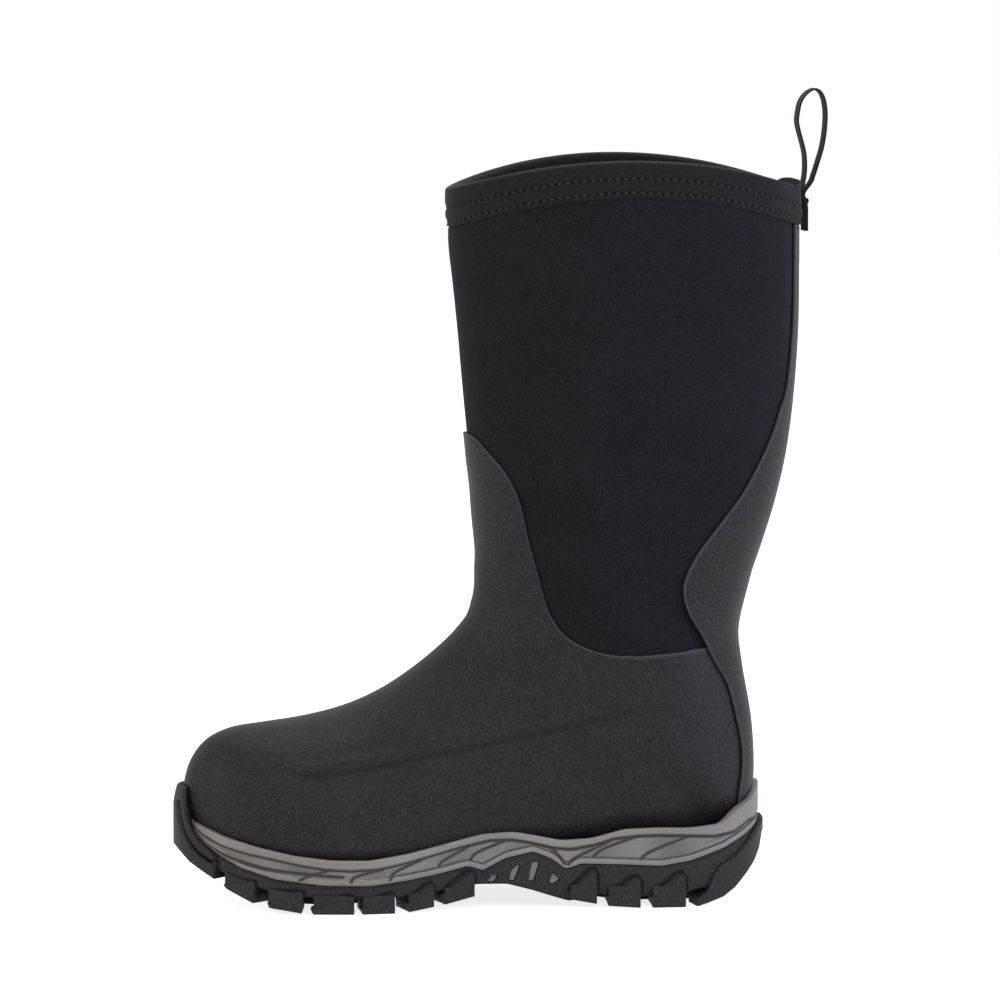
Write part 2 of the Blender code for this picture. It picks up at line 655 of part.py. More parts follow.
def lug_face(outline, row, side):
    """The leaning arch of a lug on the sole's wall."""
    front, back, outward = lug_frame(outline, along(row[0]), along(row[1]), side)
    top = row[2] * SOLE_HEIGHT
    shape = ((0.10, 0.0), (0.96, 0.0), (1.0, 0.70), (0.78, 1.0), (0.0, 0.40))
    plan = [front.lerp(back, u) for u, v in shape]
    foot = [height_at(TREAD, p.x) + LUG_CHAMFER for p in plan]
    heights = [low + (top - low) * v for low, (u, v) in zip(foot, shape)]
    near = [p + outward * LUG_PROUD for p in plan]
    far = [p - outward * (RUBBER_RIM * 0.6) for p in plan]
    return prism_between(near, far, heights)


def lug_block(outline, row, side):
    """The part of a lug under the sole."""
    front, back, outward = lug_frame(outline, along(row[0]), along(row[1]), side)
    front, back = front.lerp(back, 0.14), front.lerp(back, 0.92)
    inner = LUG_REACH * min(1.0, abs(front.y) / (LUG_REACH * 1.6))
    near = [p + outward * (LUG_PROUD - LUG_CHAMFER) for p in (front, back, back, front)]
    far = [p - outward * inner for p in (front, back, back, front)]

    def heights(plan):
        return ([height_at(TREAD, p.x) for p in plan[:2]]
                + [height_at(UNDERSIDE, p.x, LUG_ROOT) for p in plan[2:]])
    return prism_between(near, far, heights(near), heights(far))


def centre_bar(fraction):
    """A low bar across the middle of the tread."""
    x = along(fraction)
    outline = sole_outline()
    middle = sum(edges_at(outline, x)) / 2
    room = (edges_at(outline, x)[1] - edges_at(outline, x)[0]) / 2 - LUG_REACH - MIN_HALF
    reach = min(CENTRE_LUG / 2, max(room, MIN_HALF))
    half = CENTRE_LUG_STEP * 0.3
    low = [height_at(TREAD, x - half), height_at(TREAD, x + half)]
    top = [height_at(UNDERSIDE, x + half, LUG_ROOT), height_at(UNDERSIDE, x - half, LUG_ROOT)]
    plan = [Vector((x - half, middle)), Vector((x + half, middle)), Vector((x + half, middle)),
            Vector((x - half, middle))]
    side = Vector((0.0, reach))
    return prism_between([p - side for p in plan], [p + side for p in plan], low + top)


def arch_window(outline, row, side):
    """A slot through the rim under the arch."""
    x = along(row[0])
    half = row[1] * SOLE_LENGTH / 2
    front, back, outward = lug_frame(outline, x - half, x + half, side)
    low, high = row[2] * SOLE_HEIGHT, row[3] * SOLE_HEIGHT
    plan = [front, back, back, front]
    near = [p + outward * CUTTER_LAP for p in plan]
    far = [p - outward * (RUBBER_RIM + 2 * CLEARANCE) for p in plan]
    return prism_between(near, far, [low, low, high, high])


def make_outsole(material, seats):
    outline = sole_outline()
    base = block(outline, lambda x: height_at(UNDERSIDE, x), lambda x: height_at(PARTING, x),
                 start=along(TOE_CAP))
    outsole = make_object("outsole", *base, material)
    hollow = block(sole_outline(-RUBBER_RIM), sole_floor, lambda x: HOLLOW_TOP)
    boolean(outsole, make_object("rim_hollow", *hollow, None), "DIFFERENCE")
    windows = [arch_window(outline, row, side) for row in ARCH_WINDOWS for side in (0, 1)]
    boolean(outsole, make_object("arch_windows", *join_parts(windows), None), "DIFFERENCE")
    inside = block(sole_outline(-RUBBER_RIM * 0.5), lambda x: height_at(UNDERSIDE, x, LUG_ROOT * 1.1),
                   lambda x: HOLLOW_TOP)
    inside = make_object("band_inside", *inside, None)
    above = block(sole_outline(CLEARANCE), lambda x: height_at(PARTING, x, -FACE_DROP),
                  lambda x: HOLLOW_TOP, start=along(TOE_CAP) - CLEARANCE)
    above = make_object("band_above", *above, None)
    bumper = block(sole_outline(TOE_BAND, BUMPER), lambda x: height_at(TREAD, x),
                   lambda x: height_at(BUMPER_TOP, x), end=along(0.070))
    bumper = make_object("toe_bumper", *bumper, None)
    heel = block(sole_outline(BAND), lambda x: height_at(TREAD, x),
                 lambda x: height_at(PARTING, x, -BAND_DROP), start=along(0.876))
    heel = make_object("heel_band", *heel, None)
    for band in (bumper, heel):
        boolean(band, inside, "DIFFERENCE")
        boolean(band, above, "DIFFERENCE")
        boolean(outsole, band, "UNION")
    for seat in seats:
        boolean(outsole, seat, "DIFFERENCE")
    blocks = [lug_block(outline, row, side) for row in EDGE_LUGS for side in (0, 1)]
    blocks += [centre_bar(fraction) for fraction in CENTRE_LUGS]
    boolean(outsole, make_object("tread_blocks", *join_parts(blocks), None), "UNION", True)
    arches = [lug_face(outline, row, side) for row in EDGE_LUGS for side in (0, 1)]
    boolean(outsole, make_object("lug_faces", *join_parts(arches), None), "UNION", True)


def make_shank(material):
    top = CLEARANCE + BOARD + CLEARANCE
    make_object("shank", *shank_strip(0.0, top, top + SHANK), material)


# ------------------------------------------------------------------ upper
SOLE_COLUMNS = 2  # columns either side of the bottom line that the board covers
WRAP = [*range(BACK + SOLE_COLUMNS + 1, COLUMNS), *range(BACK - SOLE_COLUMNS)]
BOARD_END = 13  # last ring over the insole board
NEOPRENE_SEAM = 13
LINING_SEAM = 11
SEAM_GAP = 0.06  # in rings


def make_neoprene(material):
    foot = list(range(NEOPRENE_SEAM + 1))
    make_object("vamp_neoprene", *layer(0.0, -NEOPRENE, foot, True, foot[1:]), material)
    shaft = [NEOPRENE_SEAM + SEAM_GAP, *range(NEOPRENE_SEAM + 1, FOLD_RING + 1)]
    verts, faces = layer_with_collar(shaft, 0.0, -NEOPRENE)
    make_object("shaft_neoprene", verts, faces, material)


def layer_with_collar(rings, outer, inner):
    """A shaft layer whose last stretch is pressed by the binding."""
    held = [FOLD_RING + 0.04, FOLD_RING + 0.82]

    def at(offset):
        pressed = squeezed(offset)
        return [(ring, offset) for ring in rings] + [(ring, pressed) for ring in held]
    verts = []
    loops = []
    for rows in (at(outer), at(inner)):
        side = []
        for ring, offset in rows:
            side.append(list(range(len(verts), len(verts) + COLUMNS)))
            verts += [skin(ring, column, offset) for column in range(COLUMNS)]
        loops.append([ring + ring[:1] for ring in side])
    faces = []
    for side in loops:
        for first, second in zip(side[:-1], side[1:]):
            faces += bridge(first, second)
    faces += bridge(loops[0][-1], loops[1][-1])
    faces += bridge(loops[0][0], loops[1][0])
    return verts, faces


def make_lining(material):
    foot = list(range(1, LINING_SEAM + 1))
    make_object("vamp_lining", *layer(lining_outer, lining_inner, foot, True), material)
    shaft = [LINING_SEAM + SEAM_GAP, *range(LINING_SEAM + 1, FOLD_RING + 1)]
    make_object("shaft_lining", *layer_with_collar(shaft, lining_outer, lining_inner), material)


def make_seam_tape(material):
    """Tape over the lining's seam down the inside of the back."""
    top = -(NEOPRENE + LINING + 2 * CLEARANCE)
    rings = [*range(18, FOLD_RING), FOLD_RING - 0.3]
    make_object("lining_seam_tape", *sheet(top, top - SEAM_TAPE, rings, [BACK - 0.6, BACK, BACK + 0.6]),
                material)


def make_toe_puff(material):
    top = -(NEOPRENE + CLEARANCE)
    make_object("toe_puff", *sheet(top, top - PUFF, [1, 2, 3, 4], WRAP, True), material)


def feather_cut():
    """What the vamp overlay leaves open under the foot, over the insole board."""
    inset = 0.1
    columns = list(range(BACK - SOLE_COLUMNS - 1, BACK + SOLE_COLUMNS + 2))
    columns[0] += inset
    columns[-1] -= inset
    rings = [1 + inset, *range(2, BOARD_END + 1), BOARD_END + 2 * inset]
    return sheet(OVERLAY + 2 * CLEARANCE, 0.0, rings, columns)


def make_vamp_overlay(material):
    overlay = make_object("vamp_overlay", *layer(vamp_outer, vamp_inner, list(range(21)), True), material)
    boolean(overlay, make_object("feather_cut", *feather_cut(), None), "DIFFERENCE")
    edge = edge_points(VAMP_EDGE)
    front_top = [(along(0.420), edge[0][1]), (-FAR, edge[0][1]), (-FAR, -BUMPER)]
    rear = along(HEEL_EDGE[-3][0]) + WING_LAP
    heel_side = [(x + WING_LAP, z) for x, z in edge_points(HEEL_EDGE[-9:])]
    line = [p for p in edge[1:] if p[0] < heel_side[0][0]]
    outline = front_top + [(rear, -BUMPER)] + list(reversed(heel_side[2:])) + list(reversed(line))
    boolean(overlay, make_object("vamp_shape", *side_prism(outline), None), "INTERSECT")


def make_heel_overlay(material):
    rings = [*range(9, FOLD_RING), FOLD_RING - 0.04]
    columns = list(range(BACK - 7, BACK + 8))
    overlay = make_object("heel_overlay", *sheet(stay_face, stay_gap, rings, columns), material)
    edge = edge_points(HEEL_EDGE)
    outline = edge + [(FAR, edge[-1][1]), (FAR, edge[0][1])]
    boolean(overlay, make_object("heel_shape", *side_prism(outline), None), "INTERSECT")


def make_heel_counter(material):
    rings = list(range(11, 19))
    columns = list(range(BACK - 6, BACK + 7))
    counter = make_object("heel_counter", *sheet(CLEARANCE + COUNTER, CLEARANCE, rings, columns), material)
    low = HEEL_EDGE[-1][1] * COLLAR_HEIGHT
    heel_side = [(x + WING_LAP + 2 * CLEARANCE, z) for x, z in edge_points(HEEL_EDGE[-7:])]
    top = STAY_DOWN - COUNTER_TOP
    edge = [p for p in heel_side if p[1] < top]
    outline = [(edge[0][0] + BAND, top)] + edge[:-1] + [(edge[-1][0], low), (FAR, low), (FAR, top)]
    boolean(counter, make_object("counter_shape", *side_prism(outline), None), "INTERSECT")


def make_insole_board(material):
    columns = list(range(BACK - SOLE_COLUMNS, BACK + SOLE_COLUMNS + 1))
    rings = list(range(2, BOARD_END + 1))
    make_object("insole_board", *sheet(CLEARANCE + BOARD, CLEARANCE, rings, columns), material)


# ------------------------------------------------------------------ footbed
def cavity():
    """The inner face of the lining, for seating what lies on it."""
    rings = range(1, 20)
    verts = [Vector(skin(ring, column, lining_inner)) for ring in rings for column in range(COLUMNS)]
    faces = []
    for ring in range(len(rings) - 1):
        first = [ring * COLUMNS + c % COLUMNS for c in range(COLUMNS + 1)]
        faces += bridge(first, [n + COLUMNS for n in first])
    return BVHTree.FromPolygons(verts, faces)


def floor_plan(room):
    """Places across the cavity's floor: rows of points from the toe to the heel."""
    start, end = along(0.080), along(0.885)
    count = 14
    rows = []
    for i in range(count):
        x = (start + end) / 2 - (end - start) / 2 * math.cos(math.pi * i / (count - 1))
        middle = sum(edges_at(sole_outline(), x)) / 2
        above = Vector((x, middle, bottom_line(x) + LOOK_DOWN))
        level = room.ray_cast(above, Vector((0, 0, -1)))[0].z + FOOTBED_LEVEL
        side = Vector((0, 1, 0))
        lateral = room.ray_cast(Vector((x, middle, level)), side)[0].y
        medial = room.ray_cast(Vector((x, middle, level)), -side)[0].y
        end_round = math.sin(math.pi * (i + 0.9) / (count + 0.8)) ** 0.45
        rows.append((x, (lateral + medial) / 2, ((lateral - medial) / 2 - FOOTBED_SIDE_ROOM) * end_round))
    return rows


def floor_slab(room, rows, lift, thickness):
    """A flexible slab that follows the cavity's floor at a height above it."""
    shares = (-1.0, -0.6, 0.0, 0.6, 1.0)
    verts = []
    for x, middle, reach in rows:
        places = [(x, middle + share * reach) for share in shares]
        floor = [room.ray_cast(Vector((px, py, bottom_line(x) + LOOK_DOWN)), Vector((0, 0, -1)))[0].z
                 for px, py in places]
        verts += [(px, py, z + lift) for (px, py), z in zip(places, floor)]
        verts += [(px, py, z + lift + thickness) for (px, py), z in zip(reversed(places), reversed(floor))]
    size = 2 * len(shares)
    faces = []
    for i in range(len(rows) - 1):
        first = [size * i + k for k in range(size)] + [size * i]
        faces += bridge(first, [n + size for n in first])
    last = size * (len(rows) - 1)
    half = len(shares)
    for base in (0, last):
        for k in range(half - 1):
            faces.append((base + k, base + k + 1, base + size - 2 - k, base + size - 1 - k))
    return verts, faces


def make_footbed(underlay_material, foam_material, cover_material):
    room = cavity()
    rows = floor_plan(room)
    lift = CLEARANCE
    make_object("thermal_underlay", *floor_slab(room, rows, lift, UNDERLAY), underlay_material)
    lift += UNDERLAY + CLEARANCE
    make_object("footbed_foam", *floor_slab(room, rows, lift, FOOTBED), foam_material)
    lift += FOOTBED + CLEARANCE
    make_object("footbed_cover", *floor_slab(room, rows, lift, FOOTBED_COVER), cover_material)


# ------------------------------------------------------------------ collar
BINDING_FACE = BINDING - BINDING_SQUEEZE + CLEARANCE  # outer face of the binding at its lower edge
BINDING_BULGE = BINDING_FACE + CLEARANCE
INNER_WALL = -(NEOPRENE + LINING + 2 * CLEARANCE)


def sweep_ring(profile):
    """A closed profile of (offset, height above the fold in binding heights) swept round the collar."""
    verts = []
    for column in range(COLUMNS):
        verts += [skin(FOLD_RING + rise, column, offset) for offset, rise in profile]
    size = len(profile)
    faces = []
    for column in range(COLUMNS):
        first = [size * column + k % size for k in range(size + 1)]
        second = [size * ((column + 1) % COLUMNS) + k % size for k in range(size + 1)]
        faces += bridge(first, second)
    return verts, faces


def make_binding(material):
    pressed = CLEARANCE - BINDING_SQUEEZE
    profile = [
        (BINDING_FACE, 0.08), (BINDING_BULGE, 0.50), (BINDING_FACE * 0.6, 0.88),
        (pressed - BINDING * 0.6, 1.0), (INNER_WALL + 0.001, 1.0), (INNER_WALL - BINDING * 0.8, 0.88),
        (INNER_WALL - BINDING, 0.50), (INNER_WALL - BINDING, 0.10), (INNER_WALL, 0.10), (INNER_WALL, 0.87),
        (pressed, 0.87), (pressed, 0.08),
    ]
    make_object("collar_binding", *sweep_ring(profile), material)


STITCH_ROWS = (0.52, 0.18)  # in binding heights above the fold


def make_stitch_row(name, rise, material):
    """One sewn row round the binding, as a continuous thread."""
    radius = THREAD / 2
    face = BINDING_FACE + (BINDING_BULGE - BINDING_FACE) * (rise - 0.08) / 0.42
    centre = face + CLEARANCE + radius
    sides = 6
    profile = [(centre + radius * math.cos(2 * math.pi * k / sides),
                rise + radius * math.sin(2 * math.pi * k / sides) / BINDING_HEIGHT) for k in range(sides)]
    make_object(name, *sweep_ring(profile), material)


TAB_LOW, TAB_HIGH = -0.05, 0.93  # in binding heights above the fold
TAB_REACH = 0.45  # columns either side of the back
TAB_GAP = BINDING_BULGE + THREAD + 2 * CLEARANCE  # the tab lies over the stitch rows
HINGE_RING = FOLD_RING + TAB_HIGH


def make_loop_tab(material):
    """The folded ends of the webbing, sewn down over the binding at the back."""
    rings = [FOLD_RING + TAB_LOW + (TAB_HIGH - TAB_LOW) * k / 3 for k in range(4)]
    columns = [BACK + TAB_REACH * k for k in (-1.0, -0.5, 0.0, 0.5, 1.0)]
    make_object("loop_tab", *sheet(TAB_GAP + 2 * WEBBING, TAB_GAP, rings, columns), material)


def make_bartack(material):
    """The close zigzag that sews the tab on."""
    face = TAB_GAP + 2 * WEBBING + CLEARANCE
    rings = [FOLD_RING + 0.62, FOLD_RING + 0.78]
    columns = [BACK + TAB_REACH * k for k in (-0.8, -0.4, 0.0, 0.4, 0.8)]
    make_object("loop_bartack", *sheet(face + THREAD, face, rings, columns), material)


LOOP_FOLD = WEBBING / 2 + CLEARANCE  # radius of the webbing's middle line round its hinge
# The loop's side view from its outer leg over the top to its inner leg: out in loop widths, up in heights
LOOP_SHAPE = (
    (0.02, 0.05), (0.16, 0.12), (0.36, 0.24), (0.50, 0.40), (0.59, 0.55), (0.62, 0.70), (0.61, 0.81),
    (0.54, 0.91), (0.43, 0.98), (0.27, 1.00), (0.02, 0.945), (-0.135, 0.87), (-0.21, 0.77), (-0.235, 0.68),
    (-0.21, 0.60), (-0.115, 0.475), (-0.02, 0.35), (0.02, 0.22), (0.00, 0.09),
)


def loop_pivot():
    """The hinge line at the loop's root, just clear of the tab's upper edge."""
    edge = [skin(HINGE_RING, column, TAB_GAP + share * 2 * WEBBING)
            for column in (BACK - TAB_REACH, BACK, BACK + TAB_REACH) for share in (0, 1)]
    x = skin(HINGE_RING, BACK, TAB_GAP + WEBBING)[0]
    z = max(point[2] for point in edge) + CLEARANCE + LOOP_FOLD + WEBBING / 2
    return Vector((x, 0.0, z))


def loop_path():
    """Side view of the webbing's closed middle line: a small fold round the hinge, then the loop."""
    pivot = loop_pivot()
    path = []
    for step in range(5):
        angle = math.pi * step / 4
        path.append(Vector((pivot.x - LOOP_FOLD * math.cos(angle), pivot.z - LOOP_FOLD * math.sin(angle))))
    height = LOOP_HEIGHT - LOOP_FOLD - WEBBING
    crown = max(range(len(LOOP_SHAPE)), key=lambda i: LOOP_SHAPE[i][1])
    for i, (u, v) in enumerate(LOOP_SHAPE):
        leg = LOOP_FOLD * (1 - v) * (1 if i <= crown else -1)
        path.append(Vector((pivot.x + u * LOOP_WIDTH + leg, pivot.z + v * height)))
    return path


def make_pull_loop(material):
    """A strip of webbing round the loop's path, on a hinge at its root."""
    path = loop_path()
    count = len(path)
    half = LOOP_WEB_WIDTH / 2
    verts = []
    for i, point in enumerate(path):
        ahead = (path[(i + 1) % count] - path[i - 1]).normalized()
        reach = Vector((-ahead.y, ahead.x)) * WEBBING / 2
        a = point + reach
        b = point - reach
        verts += [(a.x, -half, a.y), (a.x, half, a.y), (b.x, half, b.y), (b.x, -half, b.y)]
    faces = []
    for i in range(count):
        first = [4 * i + k for k in (0, 1, 2, 3, 0)]
        second = [4 * ((i + 1) % count) + k for k in (0, 1, 2, 3, 0)]
        faces += bridge(first, second)
    loop = make_object("pull_loop", verts, faces, material)
    hinge = bpy.data.objects.new("loop_hinge", None)
    bpy.context.scene.collection.objects.link(hinge)
    hinge.location = loop_pivot()
    loop.parent = hinge
    loop.location = -hinge.location


# ------------------------------------------------------------------ boot
def build_boot():
    for item in list(bpy.data.objects):
        bpy.data.objects.remove(item, do_unlink=True)
    rubber = plastic("sole_rubber", "3a3738", 0.62)
    foam = plastic("midsole_foam", "77736f", 0.70)
    overlay = plastic("overlay_rubber", "3b393e", 0.48)
    neoprene = plastic("neoprene_fabric", "222126", 0.85)
    fleece = plastic("lining_fleece", "3c3b40", 0.95)
    ribbon = plastic("binding_fabric", "2c292e", 0.80)
    thread = plastic("sewing_thread", "343136", 0.60)
    board = plastic("insole_board_fibre", "a08c6c", 0.85)
    steel = plastic("shank_steel", "8f9296", 0.35, 1.0)
    stiffener = plastic("stiffener_plastic", "d2cdc0", 0.55)
    seats = foot_cutters()
    make_outsole(rubber, seats)
    make_midsole(foam, seats)
    make_shank(steel)
    make_insole_board(board)
    make_neoprene(neoprene)
    make_lining(fleece)
    make_seam_tape(ribbon)
    make_toe_puff(stiffener)
    make_heel_counter(stiffener)
    make_vamp_overlay(overlay)
    make_heel_overlay(overlay)
    make_footbed(stiffener, foam, fleece)
    make_binding(ribbon)
    make_stitch_row("binding_stitch_upper", STITCH_ROWS[0], thread)
    make_stitch_row("binding_stitch_lower", STITCH_ROWS[1], thread)
    make_loop_tab(ribbon)
    make_bartack(thread)
    make_pull_loop(ribbon)


build_boot()
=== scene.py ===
"""A child's pull-on winter boot: its finish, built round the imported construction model.

The skin is the outer face of the boot's neoprene, drawn like a last: rings fan from the toe, round the
instep and heel, and up the shaft. Every layer that shows is that skin moved in or out. The sole's pieces are
swept round the sole's outline. Metres, +Z up, toe at -X, inner side at -Y.
"""

import math

import bmesh
import bpy
import numpy as np
from mathutils import Matrix, Vector
from mathutils.bvhtree import BVHTree


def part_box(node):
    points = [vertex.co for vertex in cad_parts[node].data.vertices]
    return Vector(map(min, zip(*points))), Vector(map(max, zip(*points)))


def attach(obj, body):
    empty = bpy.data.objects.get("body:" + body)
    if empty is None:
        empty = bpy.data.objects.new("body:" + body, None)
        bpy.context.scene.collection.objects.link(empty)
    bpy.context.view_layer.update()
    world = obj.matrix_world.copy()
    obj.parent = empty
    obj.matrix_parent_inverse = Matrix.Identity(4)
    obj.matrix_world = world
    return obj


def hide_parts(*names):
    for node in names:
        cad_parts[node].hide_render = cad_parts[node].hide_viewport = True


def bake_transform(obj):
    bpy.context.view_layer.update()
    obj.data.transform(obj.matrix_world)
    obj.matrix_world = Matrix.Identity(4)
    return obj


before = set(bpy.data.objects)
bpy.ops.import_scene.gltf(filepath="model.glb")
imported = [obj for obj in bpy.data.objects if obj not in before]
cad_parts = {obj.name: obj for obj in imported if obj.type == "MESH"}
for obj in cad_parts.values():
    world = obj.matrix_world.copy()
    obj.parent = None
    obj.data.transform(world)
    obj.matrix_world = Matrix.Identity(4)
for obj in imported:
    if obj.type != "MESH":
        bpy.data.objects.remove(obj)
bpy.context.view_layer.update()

bl_info = {
    "name": "Winter boot finish",
    "version": (1, 0, 0),
    "blender": (4, 5, 0),
    "location": "3D View > Sidebar > Boot",
    "description": "Builds the visible pieces and finishes of a pull-on winter boot",
    "category": "Object",
}

# ------------------------------------------------------------------ sizes
MM = 0.001
MERGE = 2e-6  # points nearer than this are one
SOLE_LENGTH = 0.2360
TOE_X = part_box("outsole")[0].x
BALL_WIDTH = 0.0880
HEEL_WIDTH = 0.0700
SOLE_HEIGHT = 0.0320
COLLAR_HEIGHT = 0.2970
COLLAR_WIDTH = 0.0910
COLLAR_DIP = 0.0125
LATERAL_RISE = 0.0015
BINDING_HEIGHT = 0.0150
CLEARANCE = 0.0003
OVERLAY = 0.0012
COUNTER = 0.0012
NEOPRENE = 0.0040
LINING = 0.0015
PUFF = 0.0010
SEAM_TAPE = 0.0006
UNDERLAY = 0.0015
FOOTBED = 0.0035
FOOTBED_COVER = 0.0008
FOOTBED_SIDE_ROOM = 0.0030
FOOTBED_LEVEL = 0.0070
MIDSOLE_LIP = 0.0025
RUBBER_RIM = 0.0028
RUBBER_BASE = 0.0030
BUMPER = 0.0033
LUG_REACH = 0.0180
WEBBING = 0.0008
LOOP_WEB_WIDTH = 0.0120
STAY_DOWN = 0.1100
STAY_UP = 0.1350
BALL_MARGIN = MIDSOLE_LIP + 2 * CLEARANCE + OVERLAY
HEEL_MARGIN = BALL_MARGIN + CLEARANCE + COUNTER

COLUMNS = 24  # units round a ring; 0 is the front or top, BACK the back or bottom
BACK = 12
FINE = 8  # points to a column
FOLD_RING = 26  # the binding's lower edge

# Rings of the foot: front x, front z, sole x, sole z, bulge, depth of the widest point, roundness of the top,
# squareness of the bottom. x in sole lengths, front z in collar heights, sole z in sole heights.
FOOT_RINGS = (
    (0.022, 0.158, 0.027, 1.140, 1.00, 0.50, 2.0, 2.0),
    (0.033, 0.190, 0.038, 1.015, 1.00, 0.56, 2.0, 2.6),
    (0.058, 0.217, 0.064, 0.875, 1.00, 0.62, 2.1, 3.4),
    (0.098, 0.232, 0.102, 0.738, 1.01, 0.66, 2.2, 4.2),
    (0.150, 0.238, 0.153, 0.625, 1.01, 0.68, 2.2, 4.8),
    (0.225, 0.246, 0.225, 0.550, 1.01, 0.69, 2.1, 5.0),
    (0.297, 0.260, 0.302, 0.528, 1.01, 0.70, 2.0, 5.0),
    (0.363, 0.283, 0.378, 0.531, 1.01, 0.71, 2.0, 5.0),
    (0.425, 0.316, 0.463, 0.581, 1.01, 0.71, 2.0, 5.0),
    (0.469, 0.347, 0.556, 0.662, 1.02, 0.70, 2.0, 4.8),
    (0.500, 0.377, 0.649, 0.738, 1.03, 0.68, 2.0, 4.6),
    (0.513, 0.404, 0.747, 0.788, 1.05, 0.65, 2.0, 4.2),
    (0.517, 0.429, 0.844, 0.812, 1.11, 0.62, 2.0, 3.8),
    (0.518, 0.448, 0.912, 0.853, 1.27, 0.59, 2.0, 3.4),
)
# Rings of the heel and shaft: front x, front z, back x, back z, width in collar widths, narrowing towards the
# heel, depth of the widest point, roundness of the front, squareness of the back.
SHAFT_RINGS = (
    (0.519, 0.465, 0.958, 0.115, 0.745, 0.08, 0.56, 2.0, 2.9),
    (0.518, 0.481, 0.975, 0.158, 0.755, 0.07, 0.54, 2.0, 2.6),
    (0.515, 0.505, 0.9725, 0.236, 0.770, 0.05, 0.52, 2.0, 2.4),
    (0.512, 0.532, 0.956, 0.316, 0.790, 0.03, 0.50, 2.0, 2.2),
    (0.5095, 0.559, 0.951, 0.370, 0.815, 0.00, 0.50, 2.0, 2.1),
    (0.504, 0.596, 0.973, 0.428, 0.845, 0.00, 0.50, 2.0, 2.1),
    (0.499, 0.636, 0.9975, 0.485, 0.875, 0.00, 0.50, 2.0, 2.1),
    (0.494, 0.677, 1.0195, 0.542, 0.905, 0.00, 0.50, 2.0, 2.1),
    (0.489, 0.721, 1.038, 0.609, 0.935, 0.00, 0.50, 2.0, 2.1),
    (0.4835, 0.771, 1.050, 0.687, 0.960, 0.00, 0.50, 2.0, 2.1),
    (0.4765, 0.825, 1.057, 0.774, 0.980, 0.00, 0.50, 2.0, 2.1),
    (0.4690, 0.879, 1.058, 0.862, 0.995, 0.00, 0.50, 2.0, 2.1),
)
# Sole outline: x in sole lengths, y in local half widths, toe to heel
MEDIAL_EDGE = (
    (0.033, -0.475), (0.069, -0.70), (0.119, -0.87), (0.183, -0.965), (0.259, -1.00), (0.336, -0.985),
    (0.420, -0.90), (0.513, -0.83), (0.619, -0.88), (0.725, -0.98), (0.819, -1.00), (0.895, -0.945),
    (0.950, -0.77), (0.984, -0.43),
)
LATERAL_EDGE = (
    (0.033, 0.115), (0.064, 0.31), (0.115, 0.55), (0.183, 0.75), (0.268, 0.915), (0.361, 1.00),
    (0.463, 1.00), (0.577, 1.00), (0.683, 1.03), (0.768, 1.02), (0.827, 1.00), (0.895, 0.945),
    (0.950, 0.77), (0.984, 0.43),
)
TOE_POINT = (0.018, -0.18)
HEEL_POINT = (0.997, 0.0)
# Heights along the sole: x in sole lengths, z in sole heights
MIDSOLE_TOP = (
    (0.018, 1.10), (0.078, 0.93), (0.132, 0.825), (0.194, 0.725), (0.258, 0.666), (0.322, 0.656),
    (0.388, 0.725), (0.441, 0.813), (0.514, 0.940), (0.567, 0.960), (0.608, 0.903), (0.647, 0.844),
    (0.699, 0.869), (0.753, 0.978), (0.809, 0.994), (0.864, 0.985), (0.920, 1.02), (0.951, 1.19),
    (0.981, 1.30), (0.997, 1.49),
)
PARTING = (
    (0.000, 1.453), (0.012, 1.453), (0.020, 1.22), (0.025, 1.053), (0.037, 0.878), (0.068, 0.713),
    (0.106, 0.556), (0.163, 0.425), (0.243, 0.347), (0.322, 0.334), (0.388, 0.391), (0.441, 0.459),
    (0.489, 0.541), (0.514, 0.481), (0.552, 0.625), (0.599, 0.700), (0.629, 0.616), (0.655, 0.478),
    (0.680, 0.544), (0.753, 0.528), (0.815, 0.506), (0.864, 0.562), (0.923, 0.703), (0.967, 0.859),
    (0.997, 0.978),
)
TREAD = (
    (0.000, 0.753), (0.022, 0.591), (0.060, 0.414), (0.080, 0.335), (0.107, 0.178), (0.141, 0.107),
    (0.175, 0.044), (0.213, 0.014), (0.240, 0.000), (0.276, 0.000), (0.369, 0.000), (0.395, 0.016),
    (0.429, 0.063), (0.463, 0.106), (0.505, 0.188), (0.556, 0.250), (0.607, 0.219), (0.662, 0.113),
    (0.704, 0.056), (0.738, 0.013), (0.768, 0.000), (0.880, 0.000), (0.897, 0.035), (0.926, 0.105),
    (0.947, 0.205), (0.964, 0.325), (0.982, 0.463), (0.993, 0.600), (1.000, 0.780),
)
UNDERSIDE = (
    (0.000, 0.844), (0.022, 0.703), (0.060, 0.547), (0.107, 0.391), (0.141, 0.313), (0.175, 0.259),
    (0.213, 0.219), (0.251, 0.194), (0.369, 0.194), (0.429, 0.234), (0.463, 0.281), (0.505, 0.319),
    (0.556, 0.313), (0.607, 0.288), (0.662, 0.269), (0.738, 0.238), (0.895, 0.234), (0.937, 0.297),
    (0.967, 0.469), (0.988, 0.688), (0.997, 0.875),
)
BUMPER_TOP = (
    (0.000, 1.520), (0.009, 1.500), (0.0125, 1.360), (0.016, 1.160), (0.021, 1.020), (0.030, 0.910),
    (0.043, 0.815), (0.058, 0.730), (0.070, 0.600),
)
# Lugs along both edges: front x, back x, in sole lengths, and the top of the face in sole heights
EDGE_LUGS = (
    (0.080, 0.132, 0.415), (0.149, 0.211, 0.300), (0.222, 0.297, 0.235), (0.305, 0.364, 0.260),
    (0.383, 0.430, 0.365), (0.443, 0.500, 0.500), (0.660, 0.708, 0.500), (0.722, 0.782, 0.400),
    (0.797, 0.858, 0.440),
)
